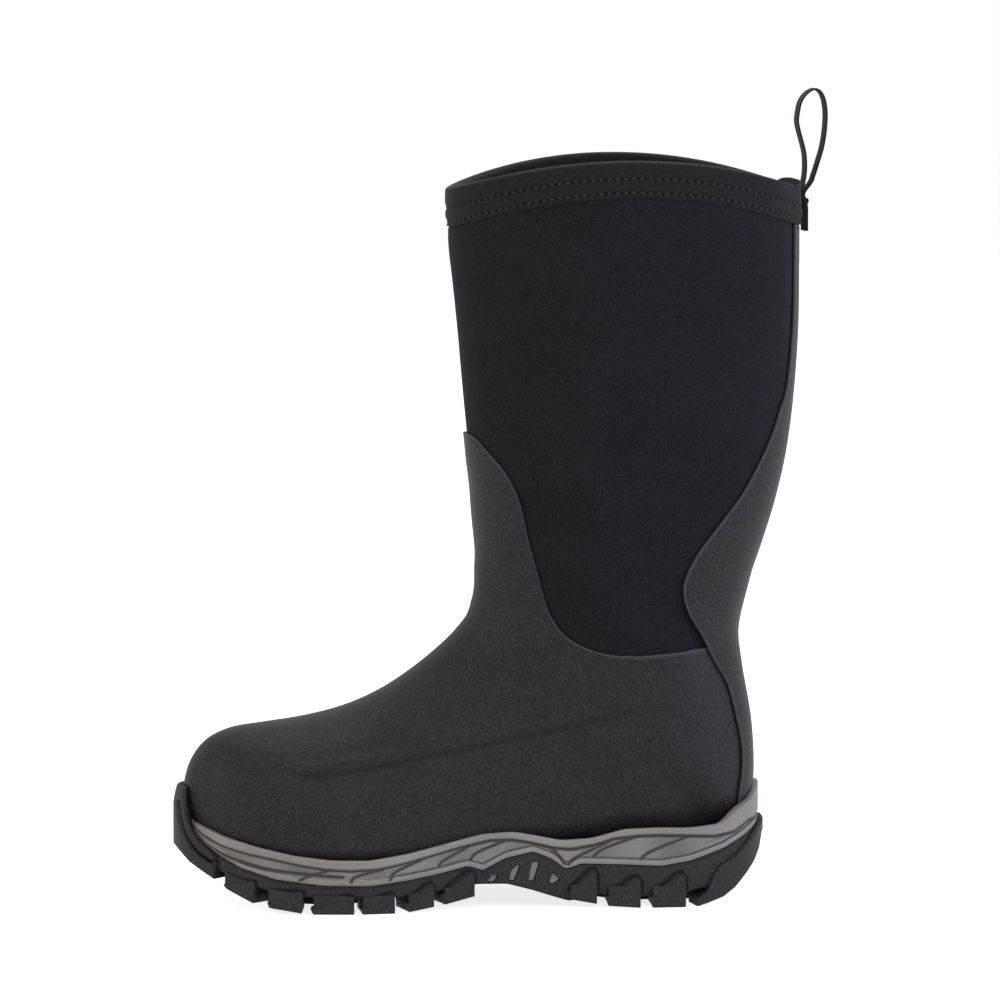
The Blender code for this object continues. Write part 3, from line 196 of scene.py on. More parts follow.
# Side view of the overlays' edges: x in sole lengths, z in collar heights
VAMP_EDGE = (
    (0.420, 0.632), (0.496, 0.629), (0.526, 0.607), (0.552, 0.583), (0.572, 0.553), (0.586, 0.520),
    (0.596, 0.483), (0.604, 0.450), (0.617, 0.410), (0.638, 0.377), (0.666, 0.356), (0.709, 0.342),
    (0.760, 0.337), (0.846, 0.341), (0.900, 0.345), (1.100, 0.350),
)
HEEL_EDGE = (
    (0.952, 0.020), (0.952, 0.094), (0.952, 0.140), (0.958, 0.178), (0.957, 0.213), (0.944, 0.261),
    (0.931, 0.296), (0.908, 0.327), (0.886, 0.362), (0.862, 0.395), (0.855, 0.428), (0.869, 0.458),
    (0.890, 0.484), (0.930, 0.523), (0.961, 0.555), (0.990, 0.595), (1.014, 0.634), (1.026, 0.662),
    (1.040, 0.694), (1.0505, 0.774), (1.0528, 0.862), (1.0532, 0.950),
)
# The vamp's moulded ridge in side view
RIDGE = (
    (0.080, 0.245), (0.103, 0.235), (0.134, 0.217), (0.166, 0.195), (0.207, 0.184), (0.248, 0.184),
    (0.340, 0.195), (0.408, 0.205), (0.509, 0.218), (0.592, 0.232), (0.677, 0.247), (0.744, 0.262),
    (0.795, 0.275), (0.900, 0.310),
)


def along(fraction):
    """World x of a place along the sole."""
    return TOE_X + np.asarray(fraction) * SOLE_LENGTH


def height_at(profile, x):
    """Height of a sole profile at x."""
    table = np.array(profile)
    return np.interp(x, along(table[:, 0]), table[:, 1] * SOLE_HEIGHT)


def ease(value):
    """Smooth step from 0 to 1."""
    value = np.clip(value, 0.0, 1.0)
    return value * value * (3.0 - 2.0 * value)


def bell(value, width):
    """1 at zero, falling away on both sides."""
    return np.exp(-(value / width) ** 2)


def curve_through(points, steps=12, closed=False):
    """A Catmull-Rom curve through points."""
    points = np.array(points, float)
    count = len(points)
    if closed:
        ends = points[[i % count for i in range(-1, count + 2)]]
    else:
        ends = np.vstack([2 * points[0] - points[1], points, 2 * points[-1] - points[-2]])
    curve = []
    for i in range(len(ends) - 3):
        a, b, c, d = ends[i:i + 4]
        for k in range(steps):
            t = k / steps
            curve.append(0.5 * (2 * b + (c - a) * t + (2 * a - 5 * b + 4 * c - d) * t ** 2
                                + (3 * b - a - 3 * c + d) * t ** 3))
    if not closed:
        curve.append(points[-1])
    return np.array(curve)


def side_curve(table):
    """A side-view edge in metres, smoothed."""
    return curve_through([(float(along(fx)), fz * COLLAR_HEIGHT) for fx, fz in table])


# ------------------------------------------------------------------ the sole's outline
def half_width(fraction):
    """Local half width of the sole, from the ball's to the heel's."""
    return 0.5 * (BALL_WIDTH + (HEEL_WIDTH - BALL_WIDTH) * ease((fraction - 0.45) / 0.30))


def outline_curve():
    """The sole's outline as one closed curve."""
    table = [TOE_POINT, *LATERAL_EDGE, HEEL_POINT, *reversed(MEDIAL_EDGE)]
    return curve_through([(float(along(fx)), fy * half_width(fx)) for fx, fy in table], 12, True)


OUTLINE = outline_curve()


def outline_sides():
    """The outline's lateral and medial sides, each from the toe to the heel."""
    rolled = np.roll(OUTLINE, -int(np.argmin(OUTLINE[:, 0])), axis=0)
    last = int(np.argmax(rolled[:, 0]))
    return rolled[:last + 1], np.vstack([rolled[last:], rolled[:1]])[::-1]


LATERAL_SIDE, MEDIAL_SIDE = outline_sides()


def edges_at(x):
    """Medial and lateral y of the sole's outline at x."""
    return tuple(np.interp(x, side[:, 0], side[:, 1]) for side in (MEDIAL_SIDE, LATERAL_SIDE))


def middle_at(x):
    """The y midway between the sole's edges at x."""
    medial, lateral = edges_at(x)
    return (medial + lateral) / 2


# ------------------------------------------------------------------ the skin
def round_columns(count):
    """Column numbers of evenly spread points round a ring."""
    return np.linspace(0, COLUMNS, count, endpoint=False)


def section(front, back, centre, width, narrow, widest, top_power, bottom_power, rise=(0.0, 0.0)):
    """One ring of points: front or top first, then round the lateral side and back."""
    angle = 2 * math.pi * np.arange(COLUMNS * FINE) / (COLUMNS * FINE)
    across = np.abs(np.sin(angle))
    depth = np.abs(np.cos(angle))
    upper = np.cos(angle) >= 0
    lower = depth ** (2 / bottom_power)
    side = np.where(upper, across ** (2 / top_power), across ** (2 / bottom_power) * (1 - narrow * lower))
    down = np.where(upper, widest * (1 - depth ** (2 / top_power)), widest + (1 - widest) * lower)
    sign = np.where(np.sin(angle) >= 0, 1.0, -1.0)
    ring = np.array(front) + (np.array(back) - np.array(front)) * down[:, None]
    ring[:, 1] = centre + sign * width * side
    ring[:, 2] += np.where(sign > 0, rise[1], rise[0]) * side * side
    return ring


def last_rings():
    """Skin points, ring by ring, from the toe to the rim."""
    rings = []
    for fx, fz, sx, sz, bulge, widest, top_power, bottom_power in FOOT_RINGS:
        medial, lateral = edges_at(along(sx))
        margin = BALL_MARGIN + (HEEL_MARGIN - BALL_MARGIN) * ease((sx - 0.6) / 0.2)
        width = max((lateral - medial) / 2 - margin, 0.004)
        rings.append(section((along(fx), 0, fz * COLLAR_HEIGHT), (along(sx), 0, sz * SOLE_HEIGHT),
                             (medial + lateral) / 2, width * bulge, 1 - 1 / bulge, widest, top_power,
                             bottom_power))
    foot = rings[-1]
    centre = (foot[len(foot) // 4, 1] + foot[3 * len(foot) // 4, 1]) / 2
    for number, row in enumerate(SHAFT_RINGS):
        fx, fz, bx, bz, share, narrow, widest, top_power, bottom_power = row
        climb = float(ease((number - 3) / (len(SHAFT_RINGS) - 4)))
        rings.append(section((along(fx), 0, fz * COLLAR_HEIGHT), (along(bx), 0, bz * COLLAR_HEIGHT),
                             centre * (1 - climb), share * COLLAR_WIDTH / 2, narrow, widest, top_power,
                             bottom_power, (COLLAR_DIP * climb, (COLLAR_DIP + LATERAL_RISE) * climb)))
    low = COLLAR_HEIGHT - COLLAR_DIP
    top = section((along(0.466), 0, low), (along(1.058), 0, low), 0.0, COLLAR_WIDTH / 2, 0.0, 0.5, 2.0, 2.1,
                  (COLLAR_DIP, COLLAR_DIP + LATERAL_RISE))
    up = top - rings[-1]
    up /= np.linalg.norm(up, axis=1)[:, None]
    rings += [top - up * BINDING_HEIGHT, top]
    return rings


def ring_grid():
    """The rings with what the smooth curve along them needs beyond both ends."""
    rings = last_rings()
    pole = rings[0].mean(axis=0) - np.array((0.0012, 0.0, 0.0))
    mirrored = np.roll(rings[0], len(rings[0]) // 2, axis=0)
    step = rings[-1] - rings[-2]
    return np.array([mirrored, np.tile(pole, (len(rings[0]), 1)), *rings, rings[-1] + step,
                     rings[-1] + 2 * step])


GRID = ring_grid()
BOTTOM = GRID[2:2 + len(FOOT_RINGS), BACK * FINE]
POLE = -1.0  # ring number of the toe's pole


def skin_point(ring, column):
    """Points of the skin at ring and column numbers, smooth along both."""
    ring = np.clip(ring, POLE, len(GRID) - 4.001)
    first = np.floor(ring).astype(int)
    t = (ring - first)[..., None]
    place = np.mod(np.asarray(column) * FINE, GRID.shape[1])
    left = np.floor(place).astype(int)
    share = (place - left)[..., None]
    right = (left + 1) % GRID.shape[1]
    a, b, c, d = (GRID[first + k, left % GRID.shape[1]] * (1 - share) + GRID[first + k, right] * share
                  for k in (1, 2, 3, 4))
    return 0.5 * (2 * b + (c - a) * t + (2 * a - 5 * b + 4 * c - d) * t ** 2
                  + (3 * b - a - 3 * c + d) * t ** 3)


def skin(ring, column, offset=0.0):
    """Points of the skin moved out by offset, a length or a function of the skin's points."""
    ring, column = np.broadcast_arrays(np.asarray(ring, float), np.asarray(column, float))
    step = 0.05
    inner = np.maximum(ring, POLE + 0.12)
    ahead = skin_point(inner + step, column) - skin_point(inner - step, column)
    round_ring = skin_point(inner, column + step) - skin_point(inner, column - step)
    normal = np.cross(ahead, round_ring)
    normal /= np.maximum(np.linalg.norm(normal, axis=-1), 1e-12)[..., None]
    normal = np.where((ring < POLE + 0.02)[..., None], np.array((-1.0, 0.0, 0.0)), normal)
    place = skin_point(ring, column)
    distance = offset(place) if callable(offset) else np.full(ring.shape, offset)
    return place + normal * distance[..., None]


# ------------------------------------------------------------------ mesh tools
def place_fresh(made, verts, places):
    """Move the points that an extrusion made from others to their places, and return them."""
    fresh = {part for part in made if isinstance(part, bmesh.types.BMVert)}
    mates = []
    for vert, place in zip(verts, places):
        mate = next(e.other_vert(vert) for e in vert.link_edges if e.other_vert(vert) in fresh)
        mate.co = Vector(place)
        mates.append(mate)
    return mates


def surface(shape, rows, cap_ends=False, marks=None):
    """A skin over closed rows of points, drawn by extruding the first row.

    UVs run along the rows and across them, in metres. Marks name vertex values, one for each point.
    """
    rows = np.asarray(rows, float)
    layer = shape.loops.layers.uv.verify()
    stores = [(shape.verts.layers.float.new(name), values) for name, values in (marks or {}).items()]

    def mark(row, index):
        for store, values in stores:
            for vert, value in zip(row, values[index]):
                vert[store] = float(value)

    row = [shape.verts.new(p) for p in rows[0]]
    row += row[:1]
    for a, b in zip(row[:-1], row[1:]):
        shape.edges.new((a, b))
    first = row
    wide = np.concatenate([rows, rows[:, :1]], axis=1)
    us = np.concatenate([[0.0], np.cumsum(np.linalg.norm(np.diff(wide, axis=1), axis=2).mean(axis=0))])
    vs = np.concatenate([[0.0], np.cumsum(np.linalg.norm(np.diff(rows, axis=0), axis=2).mean(axis=1))])
    mark(row, 0)
    for index, places in enumerate(rows[1:]):
        edges = [shape.edges.get((a, b)) for a, b in zip(row[:-1], row[1:])]
        new = place_fresh(bmesh.ops.extrude_edge_only(shape, edges=edges)["geom"], row[:-1], places)
        new += new[:1]
        mark(new, index + 1)
        for k in range(len(row) - 1):
            face = next(f for f in row[k].link_faces if new[k + 1] in f.verts and row[k + 1] in f.verts)
            corner = {row[k]: (us[k], vs[index]), row[k + 1]: (us[k + 1], vs[index]),
                      new[k]: (us[k], vs[index + 1]), new[k + 1]: (us[k + 1], vs[index + 1])}
            for loop in face.loops:
                loop[layer].uv = corner[loop.vert]
        row = new
    if cap_ends:
        for ring in (first, row):
            shape.faces.new(ring[:-1])


def mend(shape):
    """Merge a mesh's doubles and point its faces the same way."""
    bmesh.ops.remove_doubles(shape, verts=shape.verts, dist=MERGE)
    bmesh.ops.recalc_face_normals(shape, faces=shape.faces)


def finish_piece(name, shape, material, sharp=None):
    """Write a mesh to an object at the origin, with its doubles merged and its faces pointing out."""
    bmesh.ops.remove_doubles(shape, verts=shape.verts, dist=MERGE)
    bmesh.ops.dissolve_degenerate(shape, dist=1e-7, edges=shape.edges)
    bmesh.ops.recalc_face_normals(shape, faces=shape.faces)
    if shape.calc_volume(signed=True) < 0:
        bmesh.ops.reverse_faces(shape, faces=shape.faces)
    return write_piece(name, shape, material, sharp)


def write_piece(name, shape, material, sharp=None):
    """The object of a mesh, smooth but for edges sharper than an angle in degrees."""
    for face in shape.faces:
        face.smooth = True
    if sharp is not None:
        for edge in shape.edges:
            if len(edge.link_faces) == 2 and edge.calc_face_angle(0.0) > math.radians(sharp):
                edge.smooth = False
    mesh = bpy.data.meshes.new(name)
    shape.to_mesh(mesh)
    shape.free()
    item = bpy.data.objects.new(name, mesh)
    bpy.context.scene.collection.objects.link(item)
    mesh.materials.append(material)
    return item


def swept_piece(name, rows, material, sharp=None, cap_ends=False, marks=None):
    """An object with a skin over closed rows of points."""
    shape = bmesh.new()
    surface(shape, rows, cap_ends, marks)
    return finish_piece(name, shape, material, sharp)


def side_position(ring, column, offset):
    """x and z of points of the skin moved out by offset."""
    place = skin(ring, column, offset)
    return place[..., 0], place[..., 2]


def beyond(curve, x, z):
    """Signed distance from an edge drawn in side view, positive to its left."""
    a = curve[:-1]
    b = curve[1:]
    run = b - a
    point = np.stack([np.asarray(x), np.asarray(z)], axis=-1)[..., None, :]
    share = np.clip(((point - a) * run).sum(-1) / (run * run).sum(-1), 0.0, 1.0)
    gap = point - (a + run * share[..., None])
    distance = np.linalg.norm(gap, axis=-1)
    near = distance.argmin(axis=-1)
    turn = run[near, 0] * np.take_along_axis(gap[..., 1], near[..., None], -1)[..., 0] \
        - run[near, 1] * np.take_along_axis(gap[..., 0], near[..., None], -1)[..., 0]
    return np.sign(turn) * np.take_along_axis(distance, near[..., None], -1)[..., 0]


def crossing(values, places):
    """The first place where values change sign, or nothing."""
    flips = np.nonzero(np.sign(values[1:]) != np.sign(values[:-1]))[0]
    if not len(flips):
        return None
    i = flips[0]
    share = values[i] / (values[i] - values[i + 1])
    return places[i] + (places[i + 1] - places[i]) * share


# ------------------------------------------------------------------ layers of the upper
def stay_gap(place):
    """Inner face of the heel overlay: over the counter low down, on the neoprene higher up."""
    over = 2 * CLEARANCE + COUNTER
    return over + (CLEARANCE - over) * ease((place[..., 2] - STAY_DOWN) / (STAY_UP - STAY_DOWN))


def ridge_line(place):
    """Distance from the moulded ridge's line in side view, and how far it has risen at each end."""
    gap = beyond(side_curve(RIDGE), place[..., 0], place[..., 2])
    start = ease((place[..., 0] + 99 * MM) / (24 * MM))
    end = 1 - ease((place[..., 0] - along(0.70)) / 0.045)
    return gap, start, end


def side_ridge(place):
    """Height of the moulded ridge that runs back from the toe: a soft step with a crease below it."""
    gap, start, end = ridge_line(place)
    upper = bell(gap - 2.0 * MM, 1.9 * MM) * 0.75 * MM
    crease = -bell(gap + 0.5 * MM, 0.80 * MM) * 1.00 * MM
    return (upper + crease) * start * end


def ridge_crease(place):
    """How near a point is to the crease below the moulded ridge, from 0 to 1: the mask of the painted shade
    in the crease.
    """
    gap, start, end = ridge_line(place)
    return bell(gap + 0.4 * MM, 0.75 * MM) * start * end


# Folds across the instep, in millimetres: middle x, height, width and depth
FOLDS = ((-10.5, 112.0, 5.0, 0.50), (-9.0, 124.0, 6.0, 0.30), (-21.0, 103.0, 5.0, 0.25))


def instep_creases(place):
    """Shallow folds across the bend of the instep, and a short one beside it."""
    x, y, z = place[..., 0], place[..., 1], place[..., 2]
    folds = np.zeros_like(x)
    for middle, rise, width, depth in FOLDS:
        near = bell(x - middle * MM - 0.3 * np.abs(y), 16 * MM)
        folds -= bell(z - (rise * MM + 0.35 * np.abs(y)), width * MM) * depth * MM * near
    short = (z - 0.0575 - 0.9 * (x - 0.053)) / (1.5 * MM)
    folds -= np.exp(-short ** 2 - ((x - 0.053) / (4 * MM)) ** 2) * 0.20 * MM
    return folds


def vamp_face(place):
    """Outer face of the vamp overlay."""
    return CLEARANCE + OVERLAY + side_ridge(place) + instep_creases(place)


VAMP_COLUMNS = 240


def vamp_edge_rings():
    """For each column, the ring at which the vamp overlay ends."""
    curve = side_curve(VAMP_EDGE)
    columns = round_columns(VAMP_COLUMNS)
    rings = np.linspace(12.0, 24.0, 480)
    ends = []
    for column in columns:
        x, z = side_position(rings, np.full(rings.shape, column), CLEARANCE + OVERLAY)
        place = crossing(beyond(curve, x, z), rings)
        ends.append(place if place is not None else 20.0)
    ends = np.array(ends)
    for _ in range(3):
        ends = (np.roll(ends, 1) + 2 * ends + np.roll(ends, -1)) / 4
    return columns, ends


def lightened(gap):
    """How far a rubber edge is painted paler at a distance from it, from 0 to 1: a painted highlight along
    the edge.
    """
    return 1 - ease((gap - 0.3 * MM) / (1.1 * MM))


def sock_rows(columns, ends, outer, inner, count=120, inner_count=40, roll=4):
    """Rows of a sock: its outer face from the toe to the edge, round the edge, and its inner face back.

    The rows follow the plain rings low down and bend to the edge only near it.
    """
    rows = []
    marks = []
    plain = ends.mean()
    for share in np.linspace(0, 1, count):
        bent = POLE + (ends - POLE) * share
        even = POLE + (plain - POLE) * share
        at = even + (bent - even) * ease(share / 0.85)
        at = np.minimum(at, ends)
        face = skin(at, columns, outer)
        rows.append(face)
        marks.append(at)
    last = skin(ends, columns, outer)
    # The outer face's mark is a painted highlight that grows towards the edge; the rolled edge carries it in
    # full
    for i, row in enumerate(rows):
        gap = np.linalg.norm(row - last, axis=1)
        marks[i] = lightened(gap)
    back = skin(ends, columns, inner)
    ahead = skin(ends + 0.02, columns, outer) - skin(ends - 0.02, columns, outer)
    ahead /= np.maximum(np.linalg.norm(ahead, axis=1), 1e-9)[:, None]
    half = np.linalg.norm(last - back, axis=1)[:, None] / 2
    middle = (last + back) / 2
    for k in range(1, roll + 1):
        angle = math.pi * k / (roll + 1)
        rows.append(middle + (last - middle) * math.cos(angle) + ahead * half * 0.7 * math.sin(angle))
        marks.append(np.ones(len(columns)))
    for share in np.linspace(1, 0, inner_count):
        rows.append(skin(POLE + (ends - POLE) * share, columns, inner))
        marks.append(np.zeros(len(columns)))
    return np.array(rows), np.array(marks)


def build_vamp_overlay(material):
    columns, ends = vamp_edge_rings()
    # The edge marks paint a highlight along the overlay's edge
    rows, marks = sock_rows(columns, ends, vamp_face, CLEARANCE)
    # The crease mark paints shade along the crease under the ridge
    item = swept_piece("vamp_rubber", rows, material, marks={"edge": marks, "crease": ridge_crease(rows)})
    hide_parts("vamp_overlay")
    return item


def heel_edge_columns(rings, sign):
    """For each ring, how far round from the back the heel overlay reaches on one side."""
    curve = side_curve(HEEL_EDGE)
    spread = np.linspace(0.05, 9.5, 380)
    reach = []
    for ring in rings:
        x, z = side_position(np.full(spread.shape, ring), BACK + sign * spread, 2 * CLEARANCE + OVERLAY)
        place = crossing(beyond(curve, x, z), spread)
        reach.append(place if place is not None else np.nan)
    reach = np.array(reach)
    good = ~np.isnan(reach)
    return np.interp(rings, rings[good], reach[good])


def build_heel_overlay(material):
    rings = np.linspace(13.0, FOLD_RING - 0.02, 160)
    lateral = heel_edge_columns(rings, -1)
    medial = heel_edge_columns(rings, 1)
    count = 72
    even = np.linspace(-1, 1, count)
    shares = np.sign(even) * (1 - (1 - np.abs(even)) ** 1.35)
    rows = []
    marks = []
    for ring, low, high in zip(rings, lateral, medial):
        across = BACK + np.where(shares < 0, low, high) * shares
        outer = skin(np.full(count, ring), across, lambda p: stay_gap(p) + OVERLAY)
        inner = skin(np.full(count, ring), across, stay_gap)
        gap = np.minimum(np.linalg.norm(outer - outer[0], axis=1), np.linalg.norm(outer - outer[-1], axis=1))
        loops = [outer]
        for end, beside in ((-1, -2), (0, 1)):
            middle = (outer[end] + inner[end]) / 2
            out = outer[end] - outer[beside]
            out /= np.linalg.norm(out)
            arc = [middle + (outer[end] - middle) * math.cos(a) + out * OVERLAY * 0.4 * math.sin(a)
                   for a in (math.pi * k / 4 for k in range(1, 4))]
            loops.append(np.array(arc if end == -1 else arc[::-1]))
            if end == -1:
                loops.append(inner[::-1])
        rows.append(np.concatenate(loops))
        # Painted highlight along both edges and round them
        marks.append(np.concatenate([lightened(gap), np.ones(3), np.zeros(count), np.ones(3)]))
    item = swept_piece("heel_rubber", rows, material, cap_ends=True, marks={"edge": marks})
    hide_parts("heel_overlay")
    return item


def squeezed(ring, offset):
    """Offset of a layer where the binding presses it in."""
    pressed = ease((ring - FOLD_RING + 0.10) / 0.12)
    return offset - PRESS * np.maximum(0.0, 1 + offset / NEOPRENE) * pressed


def shell_rows(offset_out, offset_in, start, end, count, columns):
    """A sock or tube between two offsets, from ring start to ring end."""
    rows = []
    places = np.linspace(start, end, count)
    for offset, order in ((offset_out, places), (offset_in, places[::-1])):
        for ring in order:
            at = np.full(columns.shape, ring)
            rows.append(skin(at, columns, lambda p, r=ring, o=offset: squeezed(
                r, o(p) if callable(o) else np.full(p.shape[:-1], o))))
    return np.array(rows)


def build_neoprene(material):
    columns = round_columns(144)
    rows = shell_rows(0.0, -NEOPRENE, POLE, FOLD_RING + 0.82, 120, columns)
    item = swept_piece("neoprene_sock", rows, material)
    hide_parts("vamp_neoprene", "shaft_neoprene")
    return item


def lining_face(place):
    """The lining lies inside the neoprene, and inside the toe puff at the toe."""
    puff = (CLEARANCE + PUFF) * ease((along(0.30) - place[..., 0]) / (0.12 * SOLE_LENGTH))
    return -(NEOPRENE + CLEARANCE + puff)


def build_lining(material):
    columns = round_columns(120)
    rows = shell_rows(lining_face, lambda p: lining_face(p) - LINING, 0.6, FOLD_RING + 0.84, 100, columns)
    toe = rows[0].mean(axis=0)
    toe_in = rows[-1].mean(axis=0)
    rows = np.concatenate([[np.tile(toe, (120, 1))], rows, [np.tile(toe_in, (120, 1))]])
    item = swept_piece("fleece_lining", rows, material)
    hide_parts("vamp_lining", "shaft_lining")
    return item


# ------------------------------------------------------------------ the sole
SOLE_STEPS = 520  # points along each side of the sole
RELIEF = 0.55 * MM  # depth of the midsole's moulded lines
TOP_ROUND = 0.6 * MM  # radius of the midsole's upper edge
WALL_ROUND = 0.8 * MM  # radius of the outsole wall's lower edge
RIM_ROUND = 0.4 * MM  # radius of its upper edge
SLOT_DEPTH = 1.7 * MM
GROOVE_DEPTH = 1.7 * MM  # of the bumper's long groove
BAND_ROUND = 1.3 * MM  # radius of a band's upper corner
BAND_ROOT = 1.6 * MM  # how far a band reaches into the wall
LEAN_FROM, LEAN_OVER = 40.5 * MM, 8.0 * MM  # heights over which the bumper leans back
TOE_BAND = 1.2 * MM
CENTRE_BARS = (
    0.120, 0.155, 0.195, 0.2315, 0.272, 0.316, 0.352, 0.3885, 0.420, 0.4515, 0.730, 0.765, 0.8045,
    0.845, 0.8825,
)
# Slots through the outsole's wall under the arch: corners in side view, in millimetres
ARCH_SLOTS = (
    ((-8.2, 11.0), (-5.2, 10.5), (-3.4, 14.2), (-6.2, 13.8)),
    ((0.4, 11.3), (2.8, 11.0), (5.3, 17.0), (4.3, 18.0), (1.6, 15.6)),
    ((8.2, 11.0), (10.6, 10.7), (12.9, 18.2), (12.1, 19.0), (9.8, 18.9)),
    ((16.4, 10.0), (18.8, 9.5), (21.2, 11.6), (18.0, 14.8)),
)
# The outsole's lower face along its edge: the underside, with the ramp that runs down into the arch's lug
LOWER = (
    *[row for row in UNDERSIDE if row[0] < 0.56], (0.600, 0.225), (0.640, 0.130), (0.662, 0.085),
    (0.672, 0.110), (0.686, 0.170), (0.715, 0.175), (0.738, 0.150), (0.790, 0.145), (0.858, 0.160),
    (0.866, 0.200), (0.895, 0.234), *[row for row in UNDERSIDE if row[0] > 0.90],
)


def sole_sides():
    """Points of the sole's outline, their outward directions, and each one's place on the middle line."""
    halves = []
    for side in (LATERAL_SIDE, MEDIAL_SIDE):
        length = np.concatenate([[0], np.cumsum(np.linalg.norm(np.diff(side, axis=0), axis=1))])
        even = np.linspace(0, length[-1], 4000)
        x = np.interp(even, length, side[:, 0])
        density = np.cumsum(1 + 1.6 * np.exp(-((x - 7 * MM) / (17 * MM)) ** 4))
        places = np.interp(np.linspace(density[0], density[-1], SOLE_STEPS), density, even)
        halves.append(np.stack([np.interp(places, length, side[:, k]) for k in (0, 1)], axis=1))
    ring = np.vstack([halves[0], halves[1][::-1][1:-1]])
    ahead = np.roll(ring, -1, axis=0) - np.roll(ring, 1, axis=0)
    ahead /= np.linalg.norm(ahead, axis=1)[:, None]
    for _ in range(8):
        ahead = (np.roll(ahead, 1, axis=0) + 2 * ahead + np.roll(ahead, -1, axis=0)) / 4
    outward = np.stack([-ahead[:, 1], ahead[:, 0]], axis=1)
    outward /= np.linalg.norm(outward, axis=1)[:, None]
    middle = (halves[0][:, 0] + halves[1][:, 0]) / 2
    low, high = TOE_X + 0.016, TOE_X + SOLE_LENGTH - 0.016
    middle = low + (middle - middle[0]) / (middle[-1] - middle[0]) * (high - low)
    spine_x = np.concatenate([middle, middle[::-1][1:-1]])
    spine_y = np.array([middle_at(x) for x in middle])
    spine = np.stack([spine_x, np.concatenate([spine_y, spine_y[::-1][1:-1]])], axis=1)
    return ring, outward, spine


RIM, RIM_OUT, SPINE = sole_sides()


def rim_row(offset, height):
    """A row of points round the sole, moved out by offset, at a height."""
    flat = RIM + RIM_OUT * np.broadcast_to(np.asarray(offset, float), (len(RIM),))[:, None]
    return np.column_stack([flat, np.broadcast_to(np.asarray(height, float), (len(RIM),))])


def spine_row(height):
    """A row of points along the sole's middle line."""
    return np.column_stack([SPINE, height])


def inner_row(share, height):
    """A row of points part of the way from the rim to the middle line."""
    return np.column_stack([RIM + (SPINE - RIM) * share, height])


def smooth_profile(table, x, width=0.0022):
    """A sole profile with its corners eased."""
    steps = np.linspace(-1.5, 1.5, 7) * width
    weights = bell(steps, width)
    return sum(w * height_at(table, x + s) for w, s in zip(weights, steps)) / weights.sum()


def parting_at(x):
    """Height of the line between the midsole and the outsole, level round the toe."""
    return smooth_profile(PARTING, np.maximum(x, along(0.026)), 0.0010)


def bottom_line(x):
    """Height of the skin's lowest line at x."""
    return np.interp(x, BOTTOM[:, 0], BOTTOM[:, 2])


# The midsole's moulded lines in side view, in millimetres: the long groove under its top band, the toe's
# second groove, and the blades' leading edges, which curve up into the long groove.
LONG_GROOVE = (
    (-126.0, 33.0), (-123.9, 31.3), (-113.6, 26.1), (-103.0, 23.4), (-93.8, 21.7), (-83.0, 19.3),
    (-72.7, 17.6), (-63.2, 16.9), (-52.0, 17.4), (-42.0, 19.2), (-31.0, 21.9), (-19.1, 24.9),
    (-7.0, 27.4), (2.0, 27.4), (8.6, 26.3), (19.0, 23.8), (25.3, 23.3), (34.5, 24.9), (42.4, 27.4),
    (52.0, 28.4), (60.0, 28.6), (72.0, 28.2), (83.4, 27.7), (92.0, 29.0), (98.0, 32.5),
)
TOE_GROOVE = ((-125.0, 31.6), (-123.9, 30.2), (-116.3, 24.3), (-97.8, 18.2), (-76.3, 15.5), (-66.0, 14.6))
BLADES = (
    ((-83.0, 13.6), (-79.5, 15.2), (-70.5, 17.6)), ((-62.8, 12.8), (-60.6, 14.8), (-50.0, 17.5)),
    ((-47.2, 13.4), (-44.6, 16.4), (-34.5, 20.8)), ((-27.5, 17.9), (-25.2, 20.2), (-15.0, 25.6)),
    ((-14.8, 20.0), (-12.0, 22.8), (-1.0, 27.2)), ((16.8, 24.2), (19.6, 21.8), (22.8, 17.8)),
    ((24.2, 17.4), (27.6, 20.2), (40.5, 26.4)), ((34.2, 20.4), (38.5, 23.6), (51.0, 28.2)),
    ((53.2, 19.4), (57.4, 22.4), (72.5, 28.2)),
)


def near_line(path, x, z, width):
    """How near points in side view are to a line given in millimetres, from 0 to 1."""
    curve = curve_through(np.array(path) * MM, 4)
    gap = np.full(np.shape(x), 1.0)
    for a, b in zip(curve[:-1], curve[1:]):
        run = b - a
        share = np.clip(((x - a[0]) * run[0] + (z - a[1]) * run[1]) / max(run @ run, 1e-12), 0, 1)
        gap = np.minimum(gap, np.hypot(x - a[0] - share * run[0], z - a[1] - share * run[1]))
    return bell(gap, width)


def midsole_relief(x, z, low, high):
    """Moulded lines of the midsole's wall, and a mask of painted shade: its grooves, its recessed panel and
    its lower edge.
    """
    tall = np.maximum(high - low, 1e-5)
    groove = np.interp(x, np.array(LONG_GROOVE)[:, 0] * MM, np.array(LONG_GROOVE)[:, 1] * MM)
    groove = np.clip(groove, low + 2.6 * MM, high - 2.0 * MM)
    above = ease((z - groove) / (0.9 * MM) + 0.5)
    foot = 1 - ease((z - (low + 2.0 * MM)) / (0.7 * MM))
    relief = -RELIEF * (1 - np.maximum(above, foot))
    toe = 1 - ease((x + 0.070) / 0.016)
    line = bell(z - groove, 0.75 * MM) * (0.75 + 0.25 * ease((x + 0.030) / 0.02))
    line = np.maximum(line, toe * near_line(TOE_GROOVE, x, z, 0.75 * MM))
    lower = bell(z - low - 2.5 * MM, 0.40 * MM) * ease((x + 0.060) / 0.020)
    line = np.maximum(line, 0.65 * lower)
    rear = bell(z - low - 4.6 * MM, 0.45 * MM) * ease((x - 0.072) / 0.015)
    line = np.maximum(line, 0.55 * rear * (1 - ease((x - 0.098) / 0.004)))
    for path in BLADES:
        line = np.maximum(line, near_line(path, x, z, 0.68 * MM))
    relief -= RELIEF * line
    # Painted shade over the recessed panel and along the lower edge, in the mask only
    panel = (1 - np.maximum(above, foot)) * (0.24 + 0.10 * np.sin(x / 0.0047))
    line = np.maximum(line, panel)
    line = np.maximum(line, bell(z - low, 0.55 * MM))
    fade = np.clip((tall - 2.5 * MM) / (4 * MM), 0.2, 1.0)
    return relief * fade, line * fade


